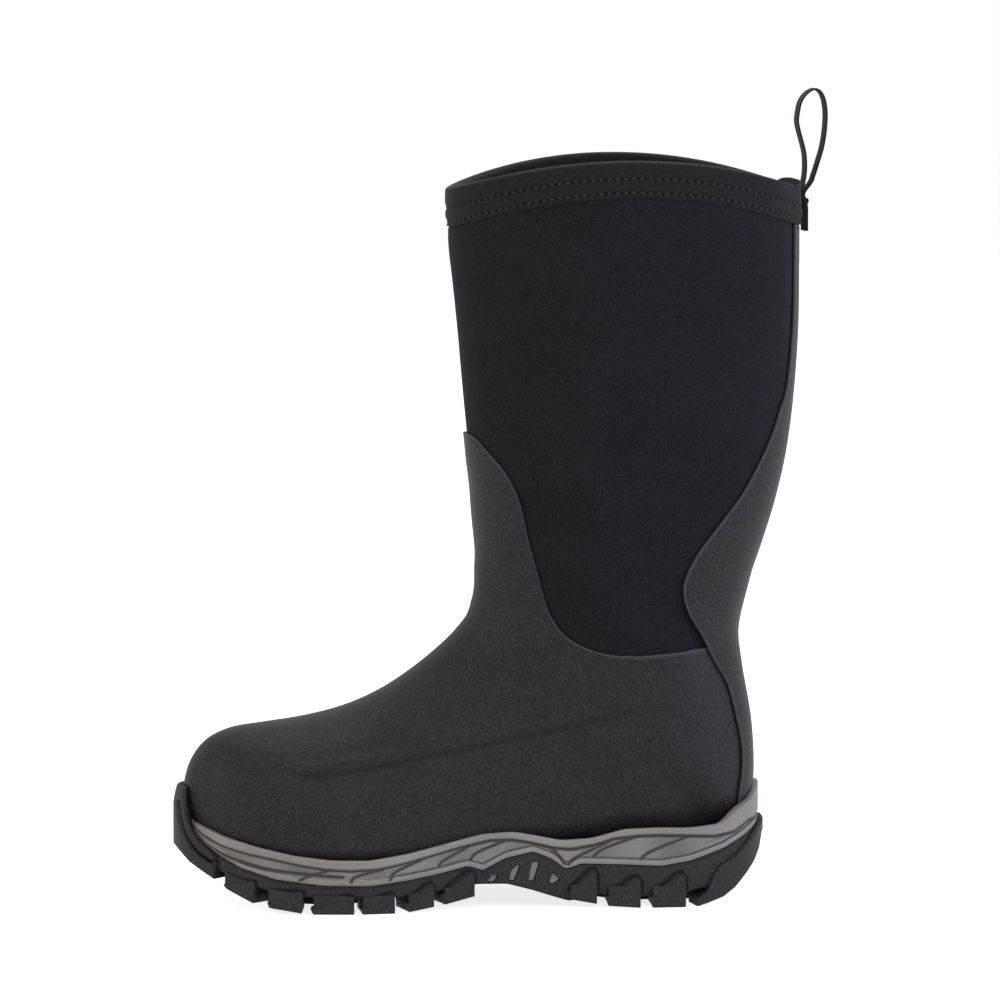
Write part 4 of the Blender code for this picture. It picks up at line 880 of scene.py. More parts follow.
def build_midsole(material):
    x = RIM[:, 0]
    low = np.maximum(parting_at(x), 0) + CLEARANCE
    high = np.maximum(smooth_profile(MIDSOLE_TOP, x), low + 1.2 * MM)
    floor = smooth_profile(UNDERSIDE, x) + RUBBER_BASE + CLEARANCE
    plug = -(RUBBER_RIM + CLEARANCE)
    floor = np.minimum(floor, low - 0.4 * MM)
    spine_floor = smooth_profile(UNDERSIDE, SPINE[:, 0]) + RUBBER_BASE + CLEARANCE
    rows = [spine_row(spine_floor), *(rim_row(plug, z) for z in (floor, (floor + low) / 2, low)),
            rim_row(-0.5 * MM, low), rim_row(-0.12 * MM, low + 0.12 * MM), rim_row(0.0, low + 0.4 * MM)]
    none = np.zeros(len(x))
    marks = [none] * len(rows)
    tall = high - low
    for share in np.linspace(0, 1, 60)[1:-1]:
        z = low + 0.4 * MM + (tall - 1.0 * MM) * share
        relief, line = midsole_relief(x, z, low, high)
        rows.append(rim_row(relief, z))
        marks.append(line)
    for angle in np.linspace(0, math.pi / 2, 5):
        rows.append(rim_row(-TOP_ROUND * (1 - math.cos(angle)), high - TOP_ROUND * (1 - math.sin(angle))))
        marks.append(none)
    under = bottom_line(SPINE[:, 0]) - 2.4 * MM
    under_rim = bottom_line(x) - 2.4 * MM
    rows += [rim_row(-2.6 * MM, high - 0.1 * MM), rim_row(-4.2 * MM, high - 0.6 * MM),
             rim_row(-5.6 * MM, np.minimum(under_rim + 2.5 * MM, high - 1.0 * MM)),
             inner_row(0.35, np.minimum(under_rim, high - 1.2 * MM)), spine_row(under)]
    marks += [none] * 5
    # The groove mark carries painted shade
    item = swept_piece("midsole_foam", rows, material, marks={"groove": marks})
    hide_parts("midsole")
    return item


# Side view of a lug's face, as shares of its length and height: a rounded nose at the toe, a leaning pointed
# arch behind; from the sixth corner on, the corner is drawn in on the outer face to leave a chamfer.
TOE_LUG = (
    (0.14, 0.0), (0.96, 0.0), (1.0, 0.30), (1.0, 0.85), (0.94, 0.97), (0.62, 1.0), (0.30, 0.97),
    (0.09, 0.84), (0.0, 0.58), (0.03, 0.22),
)
ARCH_LUG = (
    (0.06, 0.0), (0.97, 0.0), (1.0, 0.35), (1.0, 0.76), (0.955, 0.92), (0.85, 1.0), (0.70, 0.955),
    (0.36, 0.68), (0.04, 0.42), (0.0, 0.30),
)
LUG_ROOT = 1.0 * MM  # how far a lug runs up into the outsole
TOE_LUGS_END = 0.215  # lugs that start before this, in sole lengths, have the rounded nose


def rim_place(x, side):
    """A point of the outline and its outward direction at x on one side."""
    half = slice(0, SOLE_STEPS) if side else slice(SOLE_STEPS - 1, None)
    ring, out = RIM[half], RIM_OUT[half]
    if not side:
        ring = np.vstack([ring, RIM[:1]])[::-1]
        out = np.vstack([out, RIM_OUT[:1]])[::-1]
    place = [np.interp(x, ring[:, 0], ring[:, 1]), np.interp(x, ring[:, 0], out[:, 0]),
             np.interp(x, ring[:, 0], out[:, 1])]
    return Vector((x, place[0], 0)), Vector((place[1], place[2], 0)).normalized()


def lug_outline(row):
    """The side view of a lug's face, by where it is along the sole."""
    return TOE_LUG if row[0] < TOE_LUGS_END else ARCH_LUG


def bevelled_block(shape, near, far, width, segments, angle):
    """A block drawn by extruding one polygon to another, bevelled where it is sharper than an angle."""
    verts = [shape.verts.new(p) for p in near]
    made = bmesh.ops.extrude_face_region(shape, geom=[shape.faces.new(verts)])["geom"]
    verts += place_fresh(made, verts, far)
    bmesh.ops.recalc_face_normals(shape, faces=shape.faces)
    edges = {e for v in verts for f in v.link_faces for e in f.edges
             if len(e.link_faces) == 2 and e.calc_face_angle(0.0) > math.radians(angle)}
    bmesh.ops.bevel(shape, geom=list(edges), offset=width, offset_type="OFFSET", segments=segments,
                    profile=0.5, affect="EDGES", material=-1, clamp_overlap=True)


def tread_block(shape, corners):
    """A block of the tread, from its lower face up into the outsole."""
    near = [Vector((p.x, p.y, float(height_at(TREAD, p.x)))) for p in corners]
    far = [Vector((p.x, p.y, float(height_at(UNDERSIDE, p.x)) + LUG_ROOT)) for p in corners]
    bevelled_block(shape, near, far, 0.5 * MM, 2, 40)


def lug_piece(row, side, proud):
    """One lug: its arch on the wall and its block below, as bevelled solids."""
    shape = bmesh.new()
    x0, x1 = float(along(row[0])), float(along(row[1]))
    near = []
    far = []
    for k, (u, v) in enumerate(lug_outline(row)):
        places = []
        for du, dv in ((0.09, -0.11) if 5 <= k < 9 else (0.0, 0.0), (0.0, 0.0)):
            x = x0 + (x1 - x0) * min(u + du, 0.97 if k < 9 else 1.0)
            place, out = rim_place(x, side)
            low = float(height_at(TREAD, x)) + 0.15 * MM
            places.append((place, out, low + (row[2] * SOLE_HEIGHT - low) * max(v + dv, 0.0)))
        place, out, z = places[0]
        near.append(place + out * proud * (1.0 - 0.25 * v) + Vector((0, 0, z)))
        place, out, z = places[1]
        far.append(place - out * RUBBER_RIM * 0.7 + Vector((0, 0, z)))
    bevelled_block(shape, near, far, 0.60 * MM, 3, 30)
    corners = []
    for share, inward in ((0.07, 0), (0.96, 0), (0.96, 1), (0.07, 1)):
        place, out = rim_place(x0 + (x1 - x0) * share, side)
        depth = -(proud - 0.5 * MM) if not inward else min(LUG_REACH, abs(place.y) * 0.62)
        corners.append(place - out * depth)
    tread_block(shape, corners)
    return shape


def centre_bar_piece(fraction):
    """One chevron bar of the tread down the middle."""
    shape = bmesh.new()
    x = float(along(fraction))
    half = 3.4 * MM
    medial, lateral = edges_at(x)
    room = (lateral - medial) / 2 - LUG_REACH - 3 * MM
    reach = max(min(13 * MM, room), 4 * MM)
    middle = (medial + lateral) / 2
    tread_block(shape, [Vector((x + u * half, middle + v * reach, 0))
                        for u, v in ((-1, -1), (1, -1), (1.5, 0), (1, 1), (-1, 1), (-0.5, 0))])
    return shape


def add_pieces(shape, pieces):
    """Join other meshes to a mesh."""
    for piece in pieces:
        mesh = bpy.data.meshes.new("piece")
        piece.to_mesh(mesh)
        piece.free()
        shape.from_mesh(mesh)
        bpy.data.meshes.remove(mesh)


# Side view of the heel block's inner edge along the wall: x in sole lengths, z in sole heights
HEEL_BLOCK_TOP = (
    (0.877, 0.106), (0.890, 0.160), (0.898, 0.230), (0.9055, 0.381), (0.917, 0.497), (0.950, 0.641),
    (0.975, 0.800), (0.996, 0.970), (1.0, 1.02),
)


def band(start, end, high, offset, lift, reach, groove=None, lean=0.0, steps=40):
    """A thick band round the toe or the heel that turns under the sole: sections swept along the outline."""
    count = len(RIM)
    chosen = [i for i in range(count) if start <= RIM[i, 0] <= end]
    if end < 0:
        chosen = [i for i in chosen if i >= count // 2] + [i for i in chosen if i < count // 2]
    rows = []
    dark = []
    for i in chosen:
        x = RIM[i, 0]
        out = offset(x)
        at = float(np.clip((RIM[i] + RIM_OUT[i] * out)[0], TOE_X, TOE_X + SOLE_LENGTH))
        bottom = float(height_at(TREAD, at))
        z0 = bottom + lift
        z1 = max(float(height_at(high, at)), z0 + 0.2 * MM)
        rise = z0 + (z1 - z0) * np.linspace(0, 1, steps + 1)
        down = np.minimum((z1 - rise) / BAND_ROUND, 1.0)
        depth = out - BAND_ROUND * (1 - np.sqrt(np.maximum(1 - (1 - down) ** 2, 0)))
        depth -= lean * np.clip((rise - LEAN_FROM) / LEAN_OVER, 0, 1) ** 1.3
        cut = np.zeros(steps + 1) if groove is None else groove(np.full(steps + 1, at), rise)
        profile = list(zip(depth - GROOVE_DEPTH * cut, rise))
        # Painted shade in the bumper's groove
        dark.append(list(cut) + [0.0] * 9)
        root = float(height_at(UNDERSIDE, x)) + LUG_ROOT
        inner = float(np.clip((RIM[i] - RIM_OUT[i] * BAND_ROOT)[0], TOE_X, TOE_X + SOLE_LENGTH))
        z2 = max(min(z1, float(height_at(high, inner)) + 0.4 * MM), bottom + 0.5 * MM)
        profile += [(-BAND_ROOT, z2), (-BAND_ROOT, max(min(root, z2), bottom + 0.3 * MM)),
                    (-reach, max(root, bottom + 0.3 * MM)), (-reach, bottom + 0.1 * MM)]
        for k in range(5):
            angle = math.pi / 2 * k / 5
            profile.append((out - lift * 0.9 * (1 - math.sin(angle)), bottom + lift * (1 - math.cos(angle))))
        rows.append([(*(RIM[i] + RIM_OUT[i] * d), z) for d, z in profile])
    shape = bmesh.new()
    surface(shape, rows, True, {"painted_shade": dark})
    mend(shape)
    return shape


# Side view of the groove along the middle of the bumper, in millimetres
BUMPER_GROOVE = (
    (-115.4, 18.8), (-120.0, 21.2), (-124.0, 24.4), (-127.4, 29.6), (-129.2, 36.0), (-130.0, 42.0),
)


def bumper_groove(x, z):
    """How deep a point is in the bumper's long groove, from 0 to 1."""
    return near_line(BUMPER_GROOVE, x, z, 0.62 * MM)


def lug_shade(x, z):
    """How much painted shade lies on the wall round the lugs' edges, from 0 to 1."""
    painted_shade = np.zeros(np.shape(x))
    for row in EDGE_LUGS:
        x0, x1 = float(along(row[0])), float(along(row[1]))
        path = []
        for u, v in lug_outline(row):
            low = float(height_at(TREAD, x0 + (x1 - x0) * u))
            path.append(((x0 + (x1 - x0) * u) / MM, (low + (row[2] * SOLE_HEIGHT - low) * v) / MM))
        painted_shade = np.maximum(painted_shade, near_line(path, x, z, 0.95 * MM))
    return painted_shade


def slot_depth(x, z):
    """How deep a point of the wall is in one of the arch's slots, from 0 to 1."""
    depth = np.zeros(np.shape(x))
    for corners in ARCH_SLOTS:
        corners = np.array(corners) * MM
        inside = np.full(np.shape(x), 1.0)
        for a, b in zip(corners, np.roll(corners, -1, axis=0)):
            run = (b - a) / np.linalg.norm(b - a)
            inside = np.minimum(inside, run[0] * (z - a[1]) - run[1] * (x - a[0]))
        depth = np.maximum(depth, ease(inside / (0.35 * MM)))
    return depth


def build_outsole(material, look):
    x = RIM[:, 0]
    low = smooth_profile(LOWER, x, 0.0012)
    base = smooth_profile(UNDERSIDE, x)
    high = np.maximum(parting_at(x), base + 1.0 * MM)
    floor = np.minimum(base + RUBBER_BASE, high - 0.5 * MM)
    spine_low = smooth_profile(UNDERSIDE, SPINE[:, 0])
    none = np.zeros(len(x))
    rows = [spine_row(spine_low), rim_row(-9 * MM, base), rim_row(-4 * MM, low), rim_row(-WALL_ROUND, low)]
    marks = [none] * 4
    painted_shade = [none] * 4
    for angle in np.linspace(0, math.pi / 2, 4)[1:]:
        rows.append(rim_row(-WALL_ROUND * (1 - math.sin(angle)), low + WALL_ROUND * (1 - math.cos(angle))))
        marks.append(none)
        # Painted shade on the wall's lower rounding
        painted_shade.append(none + 0.3)
    for share in np.linspace(0, 1, 34)[1:-1]:
        z = low + WALL_ROUND + (high - low - 1.2 * MM) * share
        depth = slot_depth(x, z)
        rows.append(rim_row(-SLOT_DEPTH * depth, z))
        marks.append(depth)
        # Painted shade round the lugs, under the parting line and round the slots' edges
        near = np.maximum(lug_shade(x, z), bell(high - z, 0.8 * MM))
        painted_shade.append(np.maximum(near, 4 * depth * (1 - depth)))
    for angle in np.linspace(0, math.pi / 2, 4):
        rows.append(rim_row(-RIM_ROUND * (1 - math.cos(angle)), high - RIM_ROUND * (1 - math.sin(angle))))
        marks.append(none)
    rows += [rim_row(-RUBBER_RIM, high), rim_row(-RUBBER_RIM, floor), spine_row(spine_low + RUBBER_BASE)]
    marks += [none] * 3
    painted_shade += [none] * (len(rows) - len(painted_shade))
    shape = bmesh.new()
    surface(shape, rows, marks={"foam": marks, "painted_shade": painted_shade})
    mend(shape)
    pieces = [lug_piece(row, side, look.lug_proud) for row in EDGE_LUGS for side in (0, 1)]
    pieces += [centre_bar_piece(fraction) for fraction in CENTRE_BARS]

    def toe_offset(at):
        return TOE_BAND + BUMPER * np.clip((along(0.085) - at) / (0.067 * SOLE_LENGTH), 0, 1) ** 0.7

    pieces.append(band(-1.0, float(along(0.070)), BUMPER_TOP, toe_offset, 0.8 * MM, 8 * MM, bumper_groove,
                       1.7 * MM, 60))
    pieces.append(band(float(along(0.877)), 1.0, HEEL_BLOCK_TOP, lambda at: 2.0 * MM, 2.6 * MM, 13 * MM))
    for side in (0, 1):
        place, out = rim_place(float(along(0.0675)), side)
        stud = bmesh.new()
        middle = place + out * 0.9 * MM + Vector((0, 0, 19.0 * MM))
        bmesh.ops.create_uvsphere(stud, u_segments=20, v_segments=12, radius=1.0 * MM,
                                  matrix=Matrix.Translation(middle))
        pieces.append(stud)
    add_pieces(shape, pieces)
    item = write_piece("tread_sole", shape, material, 38)
    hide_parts("outsole")
    return item


# ------------------------------------------------------------------ the collar
INNER_WALL = -(NEOPRENE + LINING + 2 * CLEARANCE)
PRESS = 1.1 * MM  # how far the binding presses the neoprene in
STITCH_ROWS = (0.52, 0.15)  # in binding heights above the fold


def binding_face(rise):
    """Outer face of the binding: soft rolls, pulled in along the stitch rows and at the lower edge."""
    rise = np.asarray(rise, float)
    face = 0.35 * MM + 0.60 * MM * np.sin(np.clip((rise + 0.02) / 1.02, 0, 1) * math.pi) ** 0.55
    for row in STITCH_ROWS:
        face = face - 0.72 * MM * bell(rise - row, 0.070)
    return face


def binding_profile():
    """The binding's closed section: offset from the skin and height in binding heights above the fold."""
    points = [(-0.7 * MM, 0.03), (-0.1 * MM, 0.0)]
    for rise in np.linspace(0.02, 0.88, 46):
        points.append((float(binding_face(rise)), rise))
    outer = float(binding_face(0.88))
    inner = INNER_WALL - 1.3 * MM
    middle = (outer + inner) / 2
    for k in range(1, 12):
        angle = math.pi * k / 12
        points.append((middle + (outer - middle) * math.cos(angle), 0.88 + 0.115 * math.sin(angle)))
    for rise in np.linspace(0.88, 0.12, 10):
        points.append((inner, rise))
    points += [(INNER_WALL, 0.10), (INNER_WALL, 0.84), (-PRESS + CLEARANCE, 0.84), (-PRESS + CLEARANCE, 0.06)]
    return points


def tab_rise(columns, rise):
    """How far the binding swells out at the back to meet the loop's tab."""
    lower = 1 - float(ease((rise - 0.45) / 0.42))
    return (1.0 + 0.95 * lower) * MM * np.exp(-((columns - BACK) / 1.1) ** 4)


COLLAR_STEPS = 2400


def collar_line(rise, offset):
    """Points round the collar at a height, at even columns."""
    columns = round_columns(COLLAR_STEPS)
    ring = np.full(columns.shape, FOLD_RING + rise)
    return skin_between(ring, columns, offset + tab_rise(columns, rise))


def stitch_places(rise, pitch):
    """How far round the collar a row is at even columns, its length, and how many stitches it has."""
    line = collar_line(rise, float(binding_face(rise)))
    length = np.concatenate([[0], np.cumsum(np.linalg.norm(np.diff(line, axis=0), axis=1))])
    total = length[-1] + np.linalg.norm(line[0] - line[-1])
    return length, total, round(total / pitch)


def build_binding(material, look):
    columns = round_columns(840)
    lap = np.exp(-((columns - BACK - 0.55) / 0.42) ** 4)
    swell = 0.022 + 0.052 * np.cos(4 * math.pi * columns / COLUMNS)
    holes = []
    for row in STITCH_ROWS:
        length, total, count = stitch_places(row, look.stitch_pitch)
        phase = np.interp(columns, round_columns(COLLAR_STEPS), length) / total * count
        holes.append(bell(phase - np.round(phase), 0.17))
    rows = []
    marks = []
    for offset, rise in binding_profile():
        crown = ease((rise - 0.60) / 0.35)
        mark = np.zeros(len(columns))
        if offset > 0:
            for hole, row in zip(holes, STITCH_ROWS):
                mark = np.maximum(mark, hole * math.exp(-((rise - row) / 0.034) ** 2))
        away = offset - 0.35 * MM * mark + (0.30 * MM * lap * crown if offset > INNER_WALL / 2 else 0.0)
        away = away + (tab_rise(columns, rise) if offset > 0 else 0.0)
        at = FOLD_RING + rise + (0.20 * lap + swell) * crown
        rows.append(skin_between(at, columns, away))
        marks.append(mark)
    rows.append(rows[0])
    marks.append(marks[0])
    # The hole mark carries painted shade in the needle holes
    item = swept_piece("stretch_binding", rows, material, marks={"hole": marks})
    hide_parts("collar_binding")
    return item


def skin_between(ring, column, offset):
    """The skin moved out by an offset for each point."""
    base = skin(ring, column, 0.0)
    reach = np.broadcast_to(offset, base.shape[:1])[:, None] / MM
    return base + (skin(ring, column, 1.0 * MM) - base) * reach


def stitch_piece(shape, centre, along_way, up, out, length, width, height):
    """One stitch: a short round thread that dips in at both ends."""
    rows = []
    for share in (-1.0, -0.82, -0.4, 0.0, 0.4, 0.82, 1.0):
        size = math.sqrt(max(1 - abs(share) ** 3.0, 0.0)) if abs(share) < 1 else 0.0
        middle = centre + along_way * (share * length / 2) - out * (0.7 * height * share ** 2)
        rows.append([middle + up * (width / 2 * size * math.cos(a)) + out * (height / 2 * size * math.sin(a))
                     for a in (2 * math.pi * k / 6 for k in range(6))])
    surface(shape, rows)


def build_stitches(material, look):
    items = []
    for name, rise, node in (("upper_stitches", STITCH_ROWS[0], "binding_stitch_upper"),
                             ("lower_stitches", STITCH_ROWS[1], "binding_stitch_lower")):
        face = float(binding_face(rise)) + 0.10 * MM
        length, total, count = stitch_places(rise, look.stitch_pitch)
        line = collar_line(rise, face)
        above = collar_line(rise + 0.02, face)
        outer = collar_line(rise, face + 0.5 * MM)
        shape = bmesh.new()
        for k in range(count):
            place = total * (k + 0.5) / count
            i = min(int(np.searchsorted(length, place)), len(line) - 1)
            way = Vector(line[(i + 3) % len(line)] - line[i - 3]).normalized()
            up = Vector(above[i] - line[i]).normalized()
            out = Vector(outer[i] - line[i]).normalized()
            stitch_piece(shape, Vector(line[i]), way, up, out, look.stitch_length, 0.62 * MM, 0.60 * MM)
        item = finish_piece(name, shape, material)
        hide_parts(node)
        items.append(item)
    return items


# ------------------------------------------------------------------ the pull loop
LOOP_HEIGHT = 40.4 * MM
LOOP_WIDTH = 14.0 * MM
TAB_LOW, TAB_HIGH = -0.16, 0.93  # in binding heights above the fold
TAB_GAP = 2.3 * MM  # the tab's inner face, clear of the binding and its stitches
TAB_STAND = 1.1 * MM  # how much further out the tab's lower end stands
LOOP_FOLD = WEBBING / 2 + CLEARANCE  # radius of the webbing's middle line where the loop's legs leave the tab
TAB_BEND = 11.9  # the tab follows the back of the collar: metres in for each square metre across
# The loop's side view from its outer leg over the top to its inner leg: out in loop widths, up in heights
LOOP_SHAPE = (
    (0.19, 0.05), (0.255, 0.12), (0.36, 0.24), (0.50, 0.40), (0.58, 0.55), (0.62, 0.70), (0.615, 0.81),
    (0.565, 0.91), (0.46, 0.98), (0.29, 1.005), (0.06, 0.955), (-0.09, 0.87), (-0.15, 0.77), (-0.17, 0.68),
    (-0.13, 0.60), (-0.03, 0.475), (0.06, 0.35), (0.09, 0.22), (0.08, 0.09),
)


def back_line(rise, offset):
    """A point of the binding's back in side view."""
    return skin(FOLD_RING + rise, float(BACK), offset)[[0, 2]]


def loop_pivot():
    """The line just above the tab where the loop's legs leave it."""
    x = back_line(TAB_HIGH, TAB_GAP + WEBBING)[0]
    z = back_line(TAB_HIGH, TAB_GAP)[1] + CLEARANCE + LOOP_FOLD + WEBBING / 2
    return x, z


def loop_line():
    """Side view of the webbing: up the tab, round the loop, and down inside the tab again."""
    x, z = loop_pivot()
    height = LOOP_HEIGHT - LOOP_FOLD - WEBBING
    crown = max(range(len(LOOP_SHAPE)), key=lambda i: LOOP_SHAPE[i][1])
    rises = np.linspace(TAB_LOW, TAB_HIGH - 0.06, 7)
    stand = TAB_GAP + TAB_STAND * (1 - ease((rises - 0.45) / 0.42))
    path = [back_line(rise, gap + 1.52 * WEBBING) for rise, gap in zip(rises, stand)]
    for i, (u, v) in enumerate(LOOP_SHAPE):
        leg = LOOP_FOLD * (1 - v) * (1 if i <= crown else -1)
        path.append((x + u * LOOP_WIDTH + leg, z + v * height))
    path += [back_line(rise, gap + 0.48 * WEBBING) for rise, gap in zip(rises[::-1], stand[::-1])]
    return curve_through(path, 8)


def build_loop(material):
    """The webbing as one strip with rounded selvedges."""
    path = loop_line()
    top = loop_pivot()[1]
    ahead = np.gradient(path, axis=0)
    ahead /= np.linalg.norm(ahead, axis=1)[:, None]
    reach = np.stack([-ahead[:, 1], ahead[:, 0]], axis=1) * WEBBING / 2
    rows = []
    for point, out in zip(path, reach):
        ring = []
        for k in range(40):
            angle = 2 * math.pi * k / 40
            y = math.copysign(abs(math.cos(angle)) ** 0.35, math.cos(angle)) * LOOP_WEB_WIDTH / 2
            face = math.copysign(abs(math.sin(angle)) ** 0.35, math.sin(angle))
            lean = -TAB_BEND * y * y * (1 - float(ease((point[1] - top + 1 * MM) / (9 * MM))))
            ring.append((point[0] + out[0] * face + lean, y, point[1] + out[1] * face))
        rows.append(ring)
    item = swept_piece("webbing_loop", rows, material, cap_ends=True)
    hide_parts("pull_loop", "loop_tab")
    return item


def build_bartack(material):
    """A close zigzag across the tab."""
    shape = bmesh.new()
    count = 15
    width = 9.6 * MM
    x, z = back_line(0.66, TAB_GAP + 0.55 * TAB_STAND + 2 * WEBBING + CLEARANCE + 0.22 * MM)
    for k in range(count):
        for turn in (1, -1):
            y = -width / 2 + width * (k + 0.5) / count
            centre = Vector((x - TAB_BEND * y * y, y, z))
            way = Vector((0, 0.30 * turn, 1)).normalized()
            out = Vector((1, 2 * TAB_BEND * y, 0.1)).normalized()
            stitch_piece(shape, centre, way, Vector((0, 1, 0)), out, 2.4 * MM, 0.42 * MM, 0.42 * MM)
    item = finish_piece("bartack_threads", shape, material)
    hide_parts("loop_bartack")
    return item


# ------------------------------------------------------------------ inside the boot
def cavity_tree(lining):
    """The lining's faces, for seating what lies on it."""
    shape = bmesh.new()
    shape.from_mesh(lining.data)
    tree = BVHTree.FromBMesh(shape)
    shape.free()
    return tree


def floor_under(tree, x, y):
    """Height of the cavity's floor."""
    above = Vector((x, y, bottom_line(x) + 0.021))
    return tree.ray_cast(above, Vector((0, 0, -1)))[0].z


def floor_plan(tree):
    """Places across the cavity's floor: rows of points from the toe to the heel."""
    start, end = along(0.080), along(0.885)
    count = 14
    table = []
    for i in range(count):
        x = (start + end) / 2 - (end - start) / 2 * math.cos(math.pi * i / (count - 1))
        middle = float(middle_at(x))
        level = floor_under(tree, x, middle) + FOOTBED_LEVEL
        lateral = tree.ray_cast(Vector((x, middle, level)), Vector((0, 1, 0)))[0].y
        medial = tree.ray_cast(Vector((x, middle, level)), Vector((0, -1, 0)))[0].y
        end_round = math.sin(math.pi * (i + 0.9) / (count + 0.8)) ** 0.45
        table.append((x, (lateral + medial) / 2, ((lateral - medial) / 2 - FOOTBED_SIDE_ROOM) * end_round))
    table = np.array(table)
    x = (start + end) / 2 - (end - start) / 2 * np.cos(math.pi * np.linspace(0, 1, 90))
    return np.column_stack([x, *(np.interp(x, table[:, 0], table[:, k]) for k in (1, 2))])


def build_slab(name, node, tree, plan, lift, thickness, material):
    """A slab that follows the cavity's floor, with rounded sides."""
    rows = []
    shares = np.sin(np.linspace(-math.pi / 2, math.pi / 2, 25))
    edge = min(thickness / 2, 0.9 * MM)
    for x, middle, reach in plan:
        low = []
        high = []
        for share in shares:
            y = middle + share * reach
            z = floor_under(tree, x, y) + lift
            past = max(0.0, (abs(share) * reach - reach + edge) / edge)
            rounding = edge * (1 - math.sqrt(max(1 - past ** 2, 0.0)))
            low.append((x, y, z + rounding))
            high.append((x, y, z + thickness - rounding))
        rows.append(low + high[::-1])
    item = swept_piece(name, rows, material, 50, True)
    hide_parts(node)
    return item


def build_seam_tape(material):
    """Tape over the lining's seam down the inside of the back."""
    rings = np.linspace(18, FOLD_RING - 0.3, 60)
    across = BACK + np.linspace(-0.6, 0.6, 13)
    rows = []
    for ring in rings:
        at = np.full(across.shape, ring)
        crown = 1 - ((across - BACK) / 0.6) ** 4
        outer = skin_between(at, across, INNER_WALL)
        inner = skin_between(at, across, INNER_WALL - SEAM_TAPE * (0.45 + 0.55 * crown))
        rows.append(np.concatenate([outer, inner[::-1]]))
    item = swept_piece("seam_tape", rows, material, 50, True)
    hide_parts("lining_seam_tape")
    return item


# ------------------------------------------------------------------ materials
def linear(code):
    """Linear colour from an sRGB hex code."""
    channels = [int(code[i:i + 2], 16) / 255 for i in (0, 2, 4)]
    return tuple(c / 12.92 if c <= 0.04045 else ((c + 0.055) / 1.055) ** 2.4 for c in channels)


def shade(colour, factor):
    """A colour made lighter or darker, with full opacity."""
    return (*(min(c * factor, 1.0) for c in colour), 1.0)


def add_node(tree, kind, settings, inputs):
    """Add a node with its settings, and link or set its inputs."""
    node = tree.nodes.new(kind)
    for key, value in settings.items():
        setattr(node, key, value)
    for key, value in inputs.items():
        if isinstance(value, bpy.types.NodeSocket):
            tree.links.new(value, node.inputs[key])
        else:
            node.inputs[key].default_value = value
    return node


def new_material(name):
    """An empty material, its nodes and the coordinates for its patterns."""
    material = bpy.data.materials.new(name)
    material.use_nodes = True
    tree = material.node_tree
    tree.nodes.clear()
    return material, tree, add_node(tree, "ShaderNodeTexCoord", {}, {}).outputs


def tinted(tree, colour, value, start, end, top, most=1.0):
    """A colour that turns to another, at most so far, where a value rises from start to end."""
    share = add_node(tree, "ShaderNodeMapRange", {}, {
        "Value": value, "From Min": start, "From Max": end, "To Max": most}).outputs["Result"]
    return add_node(tree, "ShaderNodeMix", {"data_type": "RGBA"}, {0: share, 6: colour, 7: top}).outputs[2]


def neoprene_material(look):
    """Neoprene with a knitted jersey face: almost black and dull, with the jersey's fine pale fleck."""
    material, tree, places = new_material("jersey_faced_neoprene")
    at = places["Object"]
    # Jersey stitches are 0.3 mm; drawn at 0.7 mm, the finest that shows at this distance
    fleck, knit, broad = (add_node(tree, "ShaderNodeTexNoise", {}, {
        "Vector": at, "Scale": 1 / size, "Detail": detail, "Roughness": rough}).outputs["Fac"]
        for size, detail, rough in ((0.0007, 2.0, 0.7), (0.0012, 2.0, 0.6), (0.026, 3.0, 0.5)))
    base = tinted(tree, shade(look.neoprene, 0.85), broad, 0.3, 0.7, shade(look.neoprene, 1.15))
    colour = tinted(tree, base, fleck, 0.48, 0.76, shade(look.neoprene, 2.9), 0.8)
    bump = add_node(tree, "ShaderNodeBump", {}, {
        "Height": knit, "Distance": 0.25 * MM, "Strength": 0.5}).outputs["Normal"]
    shader = add_node(tree, "ShaderNodeBsdfPrincipled", {}, {
        "Base Color": colour, "Roughness": 0.92, "Specular IOR Level": 0.10, "Sheen Weight": 0.10,
        "Sheen Roughness": 0.5, "Sheen Tint": (*linear("8c8a90"), 1.0), "Normal": bump})
    add_node(tree, "ShaderNodeOutputMaterial", {}, {"Surface": shader.outputs["BSDF"]})
    return material


